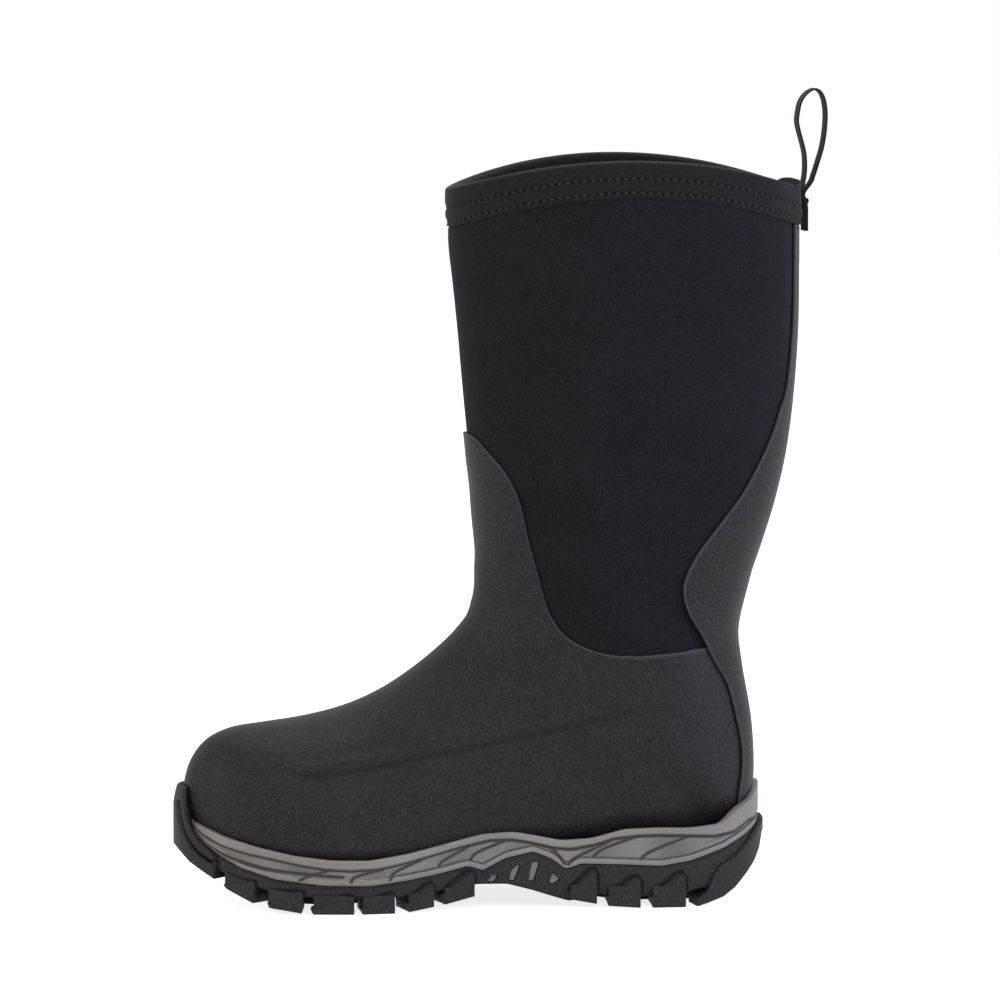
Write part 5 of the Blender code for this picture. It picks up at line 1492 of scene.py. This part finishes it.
def overlay_material(look):
    """Compression-moulded rubber: matt, with a fine pebble, a soft bloom, a painted highlight along its edges
    and painted shade in the ridge's crease.
    """
    material, tree, places = new_material("moulded_rubber_overlay")
    at = places["Object"]
    # Pebble of 0.2 mm, drawn at 0.8 mm
    grain, fine, broad = (add_node(tree, "ShaderNodeTexNoise", {}, {
        "Vector": at, "Scale": 1 / size, "Detail": detail, "Roughness": rough}).outputs["Fac"]
        for size, detail, rough in ((0.0011, 3.0, 0.6), (0.0008, 2.0, 0.7), (0.040, 3.0, 0.5)))
    base = tinted(tree, shade(look.rubber, 0.55), broad, 0.3, 0.7, shade(look.rubber, 0.85))
    specked = tinted(tree, base, fine, 0.44, 0.70, shade(look.rubber, 2.6), 0.9)
    # Painted highlight: the overlays' edges are made paler
    edge = add_node(tree, "ShaderNodeAttribute", {"attribute_name": "edge"}, {}).outputs["Fac"]
    colour = tinted(tree, specked, edge, 0.55, 1.0, shade(look.rubber, 4.6), 0.55)
    # Painted shade: the crease below the ridge is made darker
    crease = add_node(tree, "ShaderNodeAttribute", {"attribute_name": "crease"}, {}).outputs["Fac"]
    colour = tinted(tree, colour, crease, 0.1, 0.9, shade(look.rubber, 0.2), 0.6)
    rough = add_node(tree, "ShaderNodeMapRange", {}, {
        "Value": grain, "From Min": 0.3, "From Max": 0.7, "To Min": 0.47, "To Max": 0.60}).outputs["Result"]
    coarse = add_node(tree, "ShaderNodeBump", {}, {
        "Height": grain, "Distance": 0.10 * MM, "Strength": 0.5}).outputs["Normal"]
    bump = add_node(tree, "ShaderNodeBump", {}, {
        "Height": fine, "Distance": 0.06 * MM, "Strength": 0.5, "Normal": coarse}).outputs["Normal"]
    shader = add_node(tree, "ShaderNodeBsdfPrincipled", {}, {
        "Base Color": colour, "Roughness": rough, "Specular IOR Level": 0.13, "Normal": bump})
    add_node(tree, "ShaderNodeOutputMaterial", {}, {"Surface": shader.outputs["BSDF"]})
    return material


def midsole_material(look):
    """Compression-moulded EVA foam: matt, with a faint skin, painted shade in its grooves, over its recessed
    panel and along its lower edge, and a little mottling.
    """
    material, tree, places = new_material("moulded_eva_foam")
    at = places["Object"]
    cells, broad = (add_node(tree, "ShaderNodeTexNoise", {}, {
        "Vector": at, "Scale": 1 / size, "Detail": detail, "Roughness": rough}).outputs["Fac"]
        for size, detail, rough in ((0.0010, 3.0, 0.6), (0.030, 2.0, 0.5)))
    base = tinted(tree, shade(look.foam, 0.86), broad, 0.3, 0.7, shade(look.foam, 1.12))
    mottled = tinted(tree, base, cells, 0.48, 0.72, shade(look.foam, 1.35), 0.6)
    # Painted shade: grooves, the recessed panel and the lower edge are made darker
    groove = add_node(tree, "ShaderNodeAttribute", {"attribute_name": "groove"}, {}).outputs["Fac"]
    colour = tinted(tree, mottled, groove, 0.05, 0.68, shade(look.foam, 0.12), 0.92)
    bump = add_node(tree, "ShaderNodeBump", {}, {
        "Height": cells, "Distance": 0.06 * MM, "Strength": 0.5}).outputs["Normal"]
    shader = add_node(tree, "ShaderNodeBsdfPrincipled", {}, {
        "Base Color": colour, "Roughness": 0.68, "Specular IOR Level": 0.30, "Normal": bump})
    add_node(tree, "ShaderNodeOutputMaterial", {}, {"Surface": shader.outputs["BSDF"]})
    return material


def outsole_material(look):
    """Carbon rubber: darker and rougher than the overlays, paler where it is scuffed; foam in the slots;
    painted shade round the lugs, in the grooves and under the parting line.
    """
    material, tree, places = new_material("carbon_rubber_sole")
    at = places["Object"]
    grain, broad = (add_node(tree, "ShaderNodeTexNoise", {}, {
        "Vector": at, "Scale": 1 / size, "Detail": detail, "Roughness": rough}).outputs["Fac"]
        for size, detail, rough in ((0.0010, 3.0, 0.65), (0.022, 3.0, 0.5)))
    base = tinted(tree, shade(look.sole, 0.85), broad, 0.3, 0.7, shade(look.sole, 1.15))
    lightened = tinted(tree, base, grain, 0.53, 0.72, shade(look.sole, 3.0), 0.85)
    # Painted shade: recesses round the lugs, the slots and the parting line are made darker
    painted_shade = add_node(tree, "ShaderNodeAttribute", {"attribute_name": "painted_shade"}, {}).outputs["Fac"]
    shaded = tinted(tree, lightened, painted_shade, 0.1, 0.8, shade(look.sole, 0.12), 0.92)
    slot = add_node(tree, "ShaderNodeAttribute", {"attribute_name": "foam"}, {}).outputs["Fac"]
    colour = tinted(tree, shaded, slot, 0.75, 0.95, shade(look.foam, 1.5))
    rough = add_node(tree, "ShaderNodeMapRange", {}, {
        "Value": grain, "From Min": 0.3, "From Max": 0.7, "To Min": 0.52, "To Max": 0.68}).outputs["Result"]
    bump = add_node(tree, "ShaderNodeBump", {}, {
        "Height": grain, "Distance": 0.14 * MM, "Strength": 0.6}).outputs["Normal"]
    shader = add_node(tree, "ShaderNodeBsdfPrincipled", {}, {
        "Base Color": colour, "Roughness": rough, "Specular IOR Level": 0.12, "Normal": bump})
    add_node(tree, "ShaderNodeOutputMaterial", {}, {"Surface": shader.outputs["BSDF"]})
    return material


def binding_material(look):
    """Knitted stretch tape: soft, with pale filaments that run along the tape and painted shade in its needle
    holes.
    """
    material, tree, places = new_material("knitted_stretch_binding")
    drawn = add_node(tree, "ShaderNodeMapping", {}, {
        "Vector": places["UV"], "Scale": (0.28, 1.0, 1.0)}).outputs["Vector"]
    fuzz = add_node(tree, "ShaderNodeTexNoise", {}, {
        "Vector": places["Object"], "Scale": 1 / 0.0007, "Detail": 3.0,
        "Roughness": 0.65}).outputs["Fac"]
    streak = add_node(tree, "ShaderNodeTexNoise", {}, {
        "Vector": drawn, "Scale": 1 / 0.0006, "Detail": 2.0, "Roughness": 0.6}).outputs["Fac"]
    base = tinted(tree, shade(look.tape, 0.75), fuzz, 0.4, 0.7, shade(look.tape, 1.3))
    streaked = tinted(tree, base, streak, 0.54, 0.74, shade(look.tape, 2.9), 0.6)
    # Painted shade: the needle holes are made dark
    hole = add_node(tree, "ShaderNodeAttribute", {"attribute_name": "hole"}, {}).outputs["Fac"]
    colour = add_node(tree, "ShaderNodeMix", {"data_type": "RGBA"}, {
        0: hole, 6: streaked, 7: shade(look.tape, 0.12)}).outputs[2]
    fine = add_node(tree, "ShaderNodeBump", {}, {
        "Height": streak, "Distance": 0.10 * MM, "Strength": 0.5}).outputs["Normal"]
    bump = add_node(tree, "ShaderNodeBump", {}, {
        "Height": fuzz, "Distance": 0.15 * MM, "Strength": 0.5, "Normal": fine}).outputs["Normal"]
    shader = add_node(tree, "ShaderNodeBsdfPrincipled", {}, {
        "Base Color": colour, "Roughness": 0.88, "Specular IOR Level": 0.12, "Sheen Weight": 0.15,
        "Sheen Roughness": 0.45, "Sheen Tint": (*linear("a8a2aa"), 1.0), "Normal": bump})
    add_node(tree, "ShaderNodeOutputMaterial", {}, {"Surface": shader.outputs["BSDF"]})
    return material


def webbing_material(look):
    """Woven polyester webbing: a weft rib across the strip and warp ends along it."""
    material, tree, places = new_material("woven_polyester_webbing")
    # Ribs of 0.5 mm, drawn at 0.9 mm along the strip and 0.8 mm across it
    weft = add_node(tree, "ShaderNodeTexWave", {"wave_type": "BANDS", "bands_direction": "Y"}, {
        "Vector": places["UV"], "Scale": 0.314 / 0.0009, "Distortion": 0.3}).outputs["Fac"]
    warp = add_node(tree, "ShaderNodeTexWave", {"wave_type": "BANDS", "bands_direction": "X"}, {
        "Vector": places["UV"], "Scale": 0.314 / 0.0008, "Distortion": 0.3}).outputs["Fac"]
    weave = add_node(tree, "ShaderNodeMath", {"operation": "MULTIPLY"}, {0: weft, 1: warp}).outputs["Value"]
    colour = tinted(tree, shade(look.webbing, 0.6), weave, 0.1, 0.8, shade(look.webbing, 1.5))
    bump = add_node(tree, "ShaderNodeBump", {}, {
        "Height": weave, "Distance": 0.2 * MM, "Strength": 0.6}).outputs["Normal"]
    shader = add_node(tree, "ShaderNodeBsdfPrincipled", {}, {
        "Base Color": colour, "Roughness": 0.80, "Specular IOR Level": 0.15, "Sheen Weight": 0.15,
        "Sheen Roughness": 0.4, "Sheen Tint": (*linear("8f8884"), 1.0), "Normal": bump})
    add_node(tree, "ShaderNodeOutputMaterial", {}, {"Surface": shader.outputs["BSDF"]})
    return material


def thread_material(look):
    """Bonded polyester thread: paler than the tape, with its ply showing as a fine mottle."""
    material, tree, places = new_material("bonded_polyester_thread")
    at = places["Object"]
    ply = add_node(tree, "ShaderNodeTexNoise", {}, {
        "Vector": at, "Scale": 1 / 0.0003, "Detail": 2.0}).outputs["Fac"]
    colour = tinted(tree, shade(look.thread, 0.75), ply, 0.35, 0.65, shade(look.thread, 1.3))
    bump = add_node(tree, "ShaderNodeBump", {}, {
        "Height": ply, "Distance": 0.05 * MM, "Strength": 0.5}).outputs["Normal"]
    shader = add_node(tree, "ShaderNodeBsdfPrincipled", {}, {
        "Base Color": colour, "Roughness": 0.55, "Specular IOR Level": 0.30, "Normal": bump})
    add_node(tree, "ShaderNodeOutputMaterial", {}, {"Surface": shader.outputs["BSDF"]})
    return material


def fleece_material(look):
    """Brushed fleece: soft clumps of pile a millimetre or so across, with a bright fuzz at grazing angles."""
    material, tree, places = new_material("brushed_fleece")
    at = places["Object"]
    pile = add_node(tree, "ShaderNodeTexNoise", {}, {
        "Vector": at, "Scale": 1 / 0.0014, "Detail": 4.0, "Roughness": 0.7}).outputs["Fac"]
    colour = tinted(tree, shade(look.fleece, 0.65), pile, 0.35, 0.7, shade(look.fleece, 1.9))
    bump = add_node(tree, "ShaderNodeBump", {}, {
        "Height": pile, "Distance": 0.5 * MM, "Strength": 0.7}).outputs["Normal"]
    shader = add_node(tree, "ShaderNodeBsdfPrincipled", {}, {
        "Base Color": colour, "Roughness": 1.0, "Specular IOR Level": 0.08, "Sheen Weight": 0.35,
        "Sheen Roughness": 0.55, "Sheen Tint": (*linear("9a98a2"), 1.0), "Normal": bump})
    add_node(tree, "ShaderNodeOutputMaterial", {}, {"Surface": shader.outputs["BSDF"]})
    return material


def fibre_material(name, code, size, rough):
    """Felt, fibreboard or stiffener sheet: matted fibres of its own size."""
    material, tree, places = new_material(name)
    at = places["Object"]
    fibre = add_node(tree, "ShaderNodeTexNoise", {}, {
        "Vector": at, "Scale": 1 / size, "Detail": 4.0, "Roughness": 0.65}).outputs["Fac"]
    colour = tinted(tree, shade(linear(code), 0.8), fibre, 0.35, 0.65, shade(linear(code), 1.2))
    bump = add_node(tree, "ShaderNodeBump", {}, {
        "Height": fibre, "Distance": 0.1 * MM, "Strength": 0.5}).outputs["Normal"]
    shader = add_node(tree, "ShaderNodeBsdfPrincipled", {}, {
        "Base Color": colour, "Roughness": rough, "Specular IOR Level": 0.2, "Normal": bump})
    add_node(tree, "ShaderNodeOutputMaterial", {}, {"Surface": shader.outputs["BSDF"]})
    return material


def steel_material():
    """Cold-rolled spring steel: fine rolling lines along the strip that vary its gloss."""
    material, tree, places = new_material("cold_rolled_spring_steel")
    at = places["Object"]
    drawn = add_node(tree, "ShaderNodeMapping", {}, {
        "Vector": at, "Scale": (0.05, 1.0, 1.0)}).outputs["Vector"]
    line = add_node(tree, "ShaderNodeTexNoise", {}, {
        "Vector": drawn, "Scale": 1 / 0.0004, "Detail": 2.0}).outputs["Fac"]
    rough = add_node(tree, "ShaderNodeMapRange", {}, {
        "Value": line, "From Min": 0.3, "From Max": 0.7, "To Min": 0.25, "To Max": 0.45}).outputs["Result"]
    bump = add_node(tree, "ShaderNodeBump", {}, {
        "Height": line, "Distance": 0.02 * MM, "Strength": 0.4}).outputs["Normal"]
    shader = add_node(tree, "ShaderNodeBsdfPrincipled", {}, {
        "Base Color": (*linear("8f9296"), 1.0), "Metallic": 1.0, "Roughness": rough, "Normal": bump})
    add_node(tree, "ShaderNodeOutputMaterial", {}, {"Surface": shader.outputs["BSDF"]})
    return material


def give_material(node_name, material):
    item = bpy.data.objects[node_name]
    item.data.materials.clear()
    item.data.materials.append(material)


# ------------------------------------------------------------------ the stage
def seen_rays(tree):
    """1 for the rays that see the backdrop: camera, glossy and transmission rays."""
    ray = add_node(tree, "ShaderNodeLightPath", {}, {}).outputs
    direct = add_node(tree, "ShaderNodeMath", {"operation": "MAXIMUM"}, {
        0: ray["Is Camera Ray"], 1: ray["Is Glossy Ray"]}).outputs["Value"]
    return add_node(tree, "ShaderNodeMath", {"operation": "MAXIMUM"}, {
        0: direct, 1: ray["Is Transmission Ray"]}).outputs["Value"]


def build_world(look):
    """White to look at; dimmer as a light."""
    world = bpy.data.worlds.new("studio")
    bpy.context.scene.world = world
    world.use_nodes = True
    tree = world.node_tree
    tree.nodes.clear()
    strength = add_node(tree, "ShaderNodeMapRange", {}, {
        "Value": seen_rays(tree), "To Min": look.sky_light, "To Max": 1.0}).outputs["Result"]
    background = add_node(tree, "ShaderNodeBackground", {}, {
        "Color": (1.0, 1.0, 1.0, 1.0), "Strength": strength})
    add_node(tree, "ShaderNodeOutputWorld", {}, {"Surface": background.outputs["Background"]})


def floor_material():
    """White paper, lit from below as well, so that only a faint contact shadow is left."""
    material, tree, places = new_material("white_paper_sweep")
    glow = add_node(tree, "ShaderNodeMath", {"operation": "MULTIPLY"}, {
        0: seen_rays(tree), 1: 0.80}).outputs["Value"]
    at = places["Object"]
    tooth = add_node(tree, "ShaderNodeTexNoise", {}, {
        "Vector": at, "Scale": 1 / 0.002, "Detail": 2.0}).outputs["Fac"]
    bump = add_node(tree, "ShaderNodeBump", {}, {
        "Height": tooth, "Distance": 0.02 * MM, "Strength": 0.2}).outputs["Normal"]
    shader = add_node(tree, "ShaderNodeBsdfPrincipled", {}, {
        "Base Color": (0.80, 0.80, 0.80, 1.0), "Roughness": 0.9, "Specular IOR Level": 0.1,
        "Emission Color": (1.0, 1.0, 1.0, 1.0), "Emission Strength": glow, "Normal": bump})
    add_node(tree, "ShaderNodeOutputMaterial", {}, {"Surface": shader.outputs["BSDF"]})
    return material


# Lamps: name, place, watts, size and colour
LAMPS = (
    ("warm_softbox", (-2.2, -0.8, 0.9), 22.0, 1.2, "ffead4"),
    ("cool_softbox", (2.2, -1.0, 0.8), 33.0, 1.2, "e6e9ff"),
    ("front_softbox", (0.2, -2.3, 1.3), 15.0, 1.6, "ffffff"),
    ("top_softbox", (0.1, 0.3, 2.4), 18.0, 1.2, "ffffff"),
)
LAMP_AIM = (0, 0, 0.14)
CAMERA_PLACE = (-0.2179, -2.4905, 0.360)
CAMERA_AIM = (0, 0, 0.160)
CAMERA_LENS = 225.7  # millimetres: a long lens, so the boot is seen nearly flat


def add_light(name, place, power, size, code):
    data = bpy.data.lights.new(name, "AREA")
    data.energy = power
    data.size = size
    data.color = linear(code)
    light = bpy.data.objects.new(name, data)
    light.location = place
    light.rotation_euler = (Vector(LAMP_AIM) - Vector(place)).to_track_quat("-Z", "Y").to_euler()
    bpy.context.scene.collection.objects.link(light)


def build_stage(look):
    build_world(look)
    shape = bmesh.new()
    bmesh.ops.create_grid(shape, x_segments=1, y_segments=1, size=6.0)
    floor = write_piece("studio_floor", shape, floor_material())
    for name, place, power, size, code in LAMPS:
        add_light(name, place, power * look.lamp_power, size, code)
    camera = bpy.data.objects.new("view_camera", bpy.data.cameras.new("view_camera"))
    bpy.context.scene.collection.objects.link(camera)
    camera.location = CAMERA_PLACE
    camera.rotation_euler = (Vector(CAMERA_AIM) - camera.location).to_track_quat("-Z", "Y").to_euler()
    camera.data.lens = CAMERA_LENS
    camera.data.sensor_width = 36.0
    bpy.context.scene.camera = camera
    bpy.context.scene.view_settings.view_transform = "Standard"


# ------------------------------------------------------------------ the add-on
def colour_property(name, description, code):
    return bpy.props.FloatVectorProperty(name=name, description=description, default=linear(code),
                                         subtype="COLOR", size=3, min=0.0, max=1.0)


def length_property(name, description, default, low, high):
    return bpy.props.FloatProperty(name=name, description=description, default=default, min=low, max=high,
                                   unit="LENGTH")


class BootLook(bpy.types.PropertyGroup):
    """Sizes and colours of the boot's finish."""
    rubber: colour_property("Overlay rubber", "Moulded rubber of the vamp and the heel", "201e22")
    neoprene: colour_property("Neoprene", "Jersey face of the neoprene", "16151a")
    sole: colour_property("Outsole", "Carbon rubber of the tread", "282729")
    foam: colour_property("Midsole", "Moulded foam of the midsole", "7d7a78")
    tape: colour_property("Binding", "Knitted tape round the collar", "1c1a1e")
    webbing: colour_property("Webbing", "Woven strip of the pull loop", "1e1a19")
    thread: colour_property("Thread", "Stitches of the collar and the loop", "2f2c30")
    fleece: colour_property("Lining", "Brushed fleece inside the boot", "242226")
    stitch_length: length_property(
        "Stitch length", "Length of each stitch on the collar", 0.0015, 0.0008, 0.0028)
    stitch_pitch: length_property("Stitch pitch", "Distance from stitch to stitch", 0.00325, 0.0030, 0.0060)
    lug_proud: length_property(
        "Lug relief", "How far the edge lugs stand out of the wall", 0.0020, 0.0010, 0.0025)
    sky_light: bpy.props.FloatProperty(
        name="Sky light", description="Strength of the even light from all round", default=0.50,
        min=0.0, max=1.0)
    lamp_power: bpy.props.FloatProperty(
        name="Lamp power", description="Factor on the power of all lamps", default=1.0, min=0.0, max=4.0)


class BOOT_OT_upper(bpy.types.Operator):
    """Build the neoprene sock and its fleece lining"""
    bl_idname = "boot.upper"
    bl_label = "Sock and lining"

    def execute(self, context):
        look = context.scene.boot_look
        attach(build_neoprene(neoprene_material(look)), "boot")
        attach(build_lining(fleece_material(look)), "boot")
        return {"FINISHED"}


class BOOT_OT_overlays(bpy.types.Operator):
    """Build the moulded rubber overlays of the vamp and the heel"""
    bl_idname = "boot.overlays"
    bl_label = "Rubber overlays"

    def execute(self, context):
        rubber = overlay_material(context.scene.boot_look)
        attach(build_vamp_overlay(rubber), "boot")
        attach(build_heel_overlay(rubber), "boot")
        return {"FINISHED"}


class BOOT_OT_sole(bpy.types.Operator):
    """Build the midsole and the lugged outsole"""
    bl_idname = "boot.sole"
    bl_label = "Sole"

    def execute(self, context):
        look = context.scene.boot_look
        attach(build_midsole(midsole_material(look)), "boot")
        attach(build_outsole(outsole_material(look), look), "boot")
        return {"FINISHED"}


class BOOT_OT_collar(bpy.types.Operator):
    """Build the collar's binding and its two rows of stitches"""
    bl_idname = "boot.collar"
    bl_label = "Collar"

    def execute(self, context):
        look = context.scene.boot_look
        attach(build_binding(binding_material(look), look), "boot")
        for item in build_stitches(thread_material(look), look):
            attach(item, "boot")
        return {"FINISHED"}


class BOOT_OT_loop(bpy.types.Operator):
    """Build the pull loop and the bartack that holds it"""
    bl_idname = "boot.loop"
    bl_label = "Pull loop"

    def execute(self, context):
        look = context.scene.boot_look
        x, z = loop_pivot()
        loop = build_loop(webbing_material(look))
        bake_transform(loop)
        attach(build_bartack(thread_material(look)), "boot")
        return {"FINISHED"}


class BOOT_OT_inside(bpy.types.Operator):
    """Build the footbed, underlay and seam tape, and finish the stiffeners, board and shank"""
    bl_idname = "boot.inside"
    bl_label = "Inside"

    def execute(self, context):
        look = context.scene.boot_look
        fleece = fleece_material(look)
        tree = cavity_tree(bpy.data.objects["fleece_lining"])
        plan = floor_plan(tree)
        lift = CLEARANCE
        felt = fibre_material("needled_wool_felt", "9d9a96", 0.0006, 1.0)
        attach(build_slab("felt_underlay", "thermal_underlay", tree, plan, lift, UNDERLAY, felt), "boot")
        lift += UNDERLAY + CLEARANCE
        foam = build_slab("footbed_pad", "footbed_foam", tree, plan, lift, FOOTBED, midsole_material(look))
        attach(foam, "footbed")
        lift += FOOTBED + CLEARANCE
        cover = build_slab("footbed_fleece", "footbed_cover", tree, plan, lift, FOOTBED_COVER, fleece)
        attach(cover, "footbed")
        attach(build_seam_tape(binding_material(look)), "boot")
        stiff = fibre_material("thermoplastic_stiffener", "cfc9bc", 0.0015, 0.6)
        give_material("toe_puff", stiff)
        give_material("heel_counter", stiff)
        give_material("insole_board", fibre_material("cellulose_fibreboard", "9d8868", 0.0008, 0.9))
        give_material("shank", steel_material())
        return {"FINISHED"}


class BOOT_OT_stage(bpy.types.Operator):
    """Build the floor, the lamps, the white surround and the camera"""
    bl_idname = "boot.stage"
    bl_label = "Stage"

    def execute(self, context):
        build_stage(context.scene.boot_look)
        return {"FINISHED"}


class BOOT_PT_panel(bpy.types.Panel):
    """The boot's sizes, colours and pieces"""
    bl_idname = "BOOT_PT_panel"
    bl_label = "Winter boot"
    bl_space_type = "VIEW_3D"
    bl_region_type = "UI"
    bl_category = "Boot"

    def draw(self, context):
        look = context.scene.boot_look
        for name in BootLook.__annotations__:
            self.layout.prop(look, name)
        for operator in PIECES:
            self.layout.operator(operator.bl_idname)


PIECES = (BOOT_OT_upper, BOOT_OT_overlays, BOOT_OT_sole, BOOT_OT_collar, BOOT_OT_loop, BOOT_OT_inside,
          BOOT_OT_stage)


def register():
    for cls in (BootLook, *PIECES, BOOT_PT_panel):
        bpy.utils.register_class(cls)
    bpy.types.Scene.boot_look = bpy.props.PointerProperty(type=BootLook)


def unregister():
    del bpy.types.Scene.boot_look
    for cls in reversed((BootLook, *PIECES, BOOT_PT_panel)):
        bpy.utils.unregister_class(cls)


def main():
    register()
    bpy.ops.boot.upper()
    bpy.ops.boot.overlays()
    bpy.ops.boot.sole()
    bpy.ops.boot.collar()
    bpy.ops.boot.loop()
    bpy.ops.boot.inside()
    bpy.ops.boot.stage()


if __name__ == "__main__":
    main()
